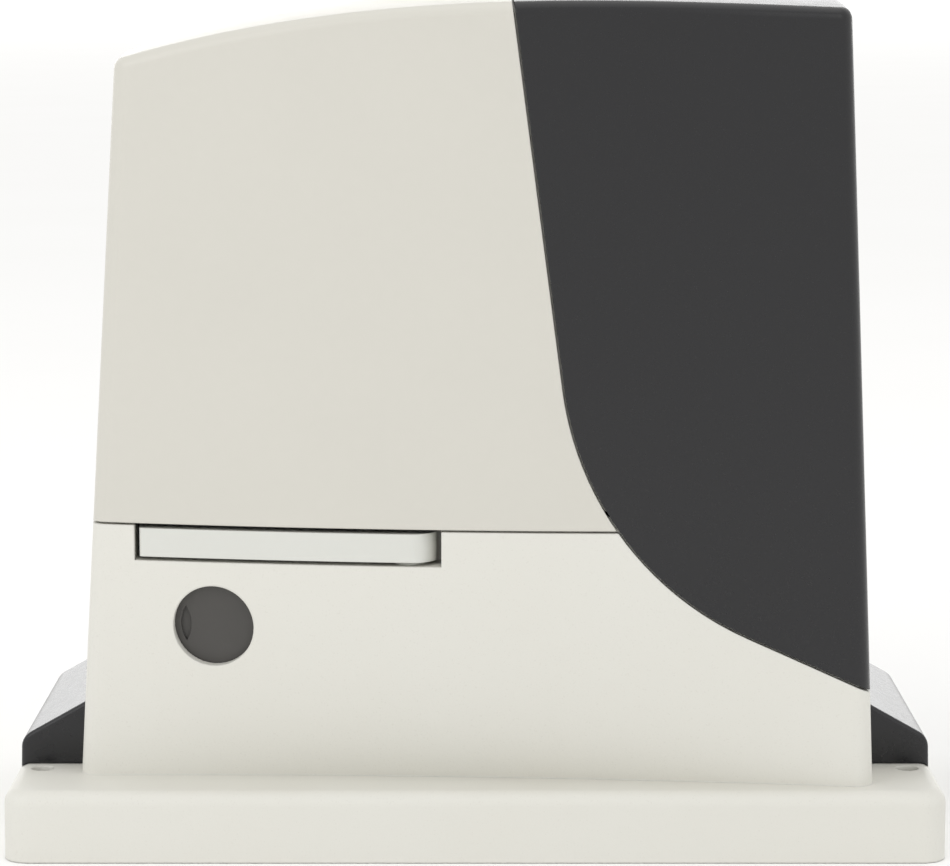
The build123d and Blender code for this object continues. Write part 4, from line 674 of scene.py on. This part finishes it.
# %% Screws in the terminals
terminal_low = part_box("terminal_blocks")[0]
terminal_screws = bmesh.new()
mains_left = terminal_low.x
signals_left = mains_left + 25 * MM
terminal_rows = [  # left end, width, poles, height over the lower row, in metres
    (mains_left, 22 * MM, 3, 0.0), (signals_left, 35 * MM, 7, 0.0), (signals_left, 35 * MM, 7, 15 * MM)]
for left, width, poles, up in terminal_rows:
    pitch = width / poles
    for n in range(poles):
        place = Vector((left + pitch * (n + 0.5), terminal_low.y + 3.2 * MM, terminal_low.z + up + 6.4 * MM))
        add_bar(terminal_screws, place, pitch * 0.29, 1.2 * MM, "Y", sides=18)
        for side in (1, -1):
            add_block(terminal_screws, place - Vector((0, 0.75 * MM, side * pitch * 0.17)),
                      (pitch * 0.5, 0.5 * MM, pitch * 0.14))
finish_piece("terminal_screws", terminal_screws, "zinc_steel", "base")

# %% [markdown]
# ### Metal ends on the fuse
#
# A glass fuse has a metal cap pressed over either end. The caps are a little wider than the tube, so they
# cover its ends without any change to the tube.

# %% Metal ends on the fuse
FUSE_CAP_LENGTH = 4.0 * MM
fuse_low, fuse_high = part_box("fuse")
fuse_middle = (fuse_low + fuse_high) / 2
fuse_cap_radius = (fuse_high.z - fuse_low.z) / 2 + 0.12 * MM
fuse_caps = bmesh.new()
for end in (fuse_low.x + 1.9 * MM, fuse_high.x - 1.9 * MM):
    add_bar(fuse_caps, (end, fuse_middle.y, fuse_middle.z), fuse_cap_radius, FUSE_CAP_LENGTH, "X", 32)
finish_piece("fuse_caps", fuse_caps, "zinc_steel", "base")

# %% [markdown]
# ## The studio
#
# The photograph is a catalogue picture: a nearly white floor that runs on behind the object, and light from
# everywhere. A room with walls could give that, but a bright even world does it without any walls to hide.
# The floor reaches so far back that its far edge lies above the picture.

# %% Floor and world
floor_mesh = bpy.data.meshes.new("studio_floor")
FLOOR_REACH = 30.0
FLOOR_DROP = 0.2 * MM  # keeps the floor and the flange's underside from flickering through each other
floor_mesh.from_pydata([(-FLOOR_REACH, -FLOOR_REACH, 0), (FLOOR_REACH, -FLOOR_REACH, 0),
                        (FLOOR_REACH, FLOOR_REACH, 0), (-FLOOR_REACH, FLOOR_REACH, 0)], [], [(0, 1, 2, 3)])
floor = bpy.data.objects.new("studio_floor", floor_mesh)
bpy.context.scene.collection.objects.link(floor)
floor.location.z = -FLOOR_DROP
floor_finish = bpy.data.materials.new("studio_floor")
floor_finish.use_nodes = True
tree = floor_finish.node_tree
paper = tree.nodes["Principled BSDF"]
paper_tone = ramp(tree, noise(tree, 3.0, detail=3.0), 0.3, 0.7)
tree.links.new(blend_colours(tree, paper_tone, (0.960, 0.957, 0.950, 1.0), (0.968, 0.965, 0.960, 1.0)),
               paper.inputs["Base Color"])
paper.inputs["Roughness"].default_value = 0.9
paper.inputs["Specular IOR Level"].default_value = 0.0
floor_mesh.materials.append(floor_finish)

world = bpy.data.worlds.new("studio")
bpy.context.scene.world = world
world.use_nodes = True
sky = world.node_tree.nodes["Background"]
sky.inputs["Color"].default_value = (1.0, 0.998, 0.99, 1.0)
sky.inputs["Strength"].default_value = 0.94
bpy.context.scene.view_settings.view_transform = "Standard"
print("floor and world ready")

# %% [markdown]
# ### Soft lights
#
# An even world alone leaves an object flat. Two softboxes in front, the left one stronger, and one overhead
# give its faces slightly different tones, as in the photograph. Catalogue pictures are also shot against a
# backdrop brighter than white. The dark plastic shows it: its top faces, seen at a flat angle, mirror that
# backdrop and turn pale. A wide low light far behind the motor stands for it. It is hidden from the camera,
# and it is so far away that the floor in front of it is lit evenly.

# %% Soft lights
middle = (cad_low + cad_high) / 2


def soft_light(name, place, size, power):
    """An area light of a given width and height that looks at the middle of the motor."""
    light = bpy.data.lights.new(name, "AREA")
    light.shape = "RECTANGLE"
    light.size, light.size_y = size
    light.energy = power
    lamp = bpy.data.objects.new(name, light)
    lamp.location = place
    lamp.rotation_euler = (middle - Vector(place)).to_track_quat("-Z", "Y").to_euler()
    bpy.context.scene.collection.objects.link(lamp)
    print(name, "of", power, "W at", place)
    return lamp


soft_light("front_left_softbox", (-1.3, -1.5, 1.1), (1.2, 1.2), 5.7)
soft_light("front_right_softbox", (1.1, -1.8, 1.3), (1.2, 1.2), 2.5)
soft_light("overhead_softbox", (0.1, -0.2, 1.8), (1.6, 1.6), 3.6)
backdrop = soft_light("backdrop_band", (0.0, 24.0, 3.75), (37.5, 7.2), 1460.0)
backdrop.visible_camera = False

# %% [markdown]
# ## The camera
#
# The photograph looks straight at the front from a little above the motor's top, with a long lens. Its
# place was worked out from the picture: the flange's front corners give the distance, and how much of the
# bolt covers' tops shows gives the height. A long lens from nearby would frame it alike but bend its lines
# differently, so distance, height and tilt are the numbers that matter here.

# %% Camera
CAMERA_DISTANCE = 1.200
CAMERA_HEIGHT = 0.3144
CAMERA_TILT = 7.73
CAMERA_LENS = 133.7
camera_data = bpy.data.cameras.new("front_camera")
camera_data.sensor_width = 36.0
camera_data.lens = CAMERA_LENS
camera = bpy.data.objects.new("front_camera", camera_data)
camera.location = (0.0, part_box("base_casting")[0].y - CAMERA_DISTANCE, CAMERA_HEIGHT)
camera.rotation_euler = (math.radians(90 - CAMERA_TILT), 0.0, 0.0)
bpy.context.scene.collection.objects.link(camera)
bpy.context.scene.camera = camera
print("camera at", [round(v, 4) for v in camera.location])
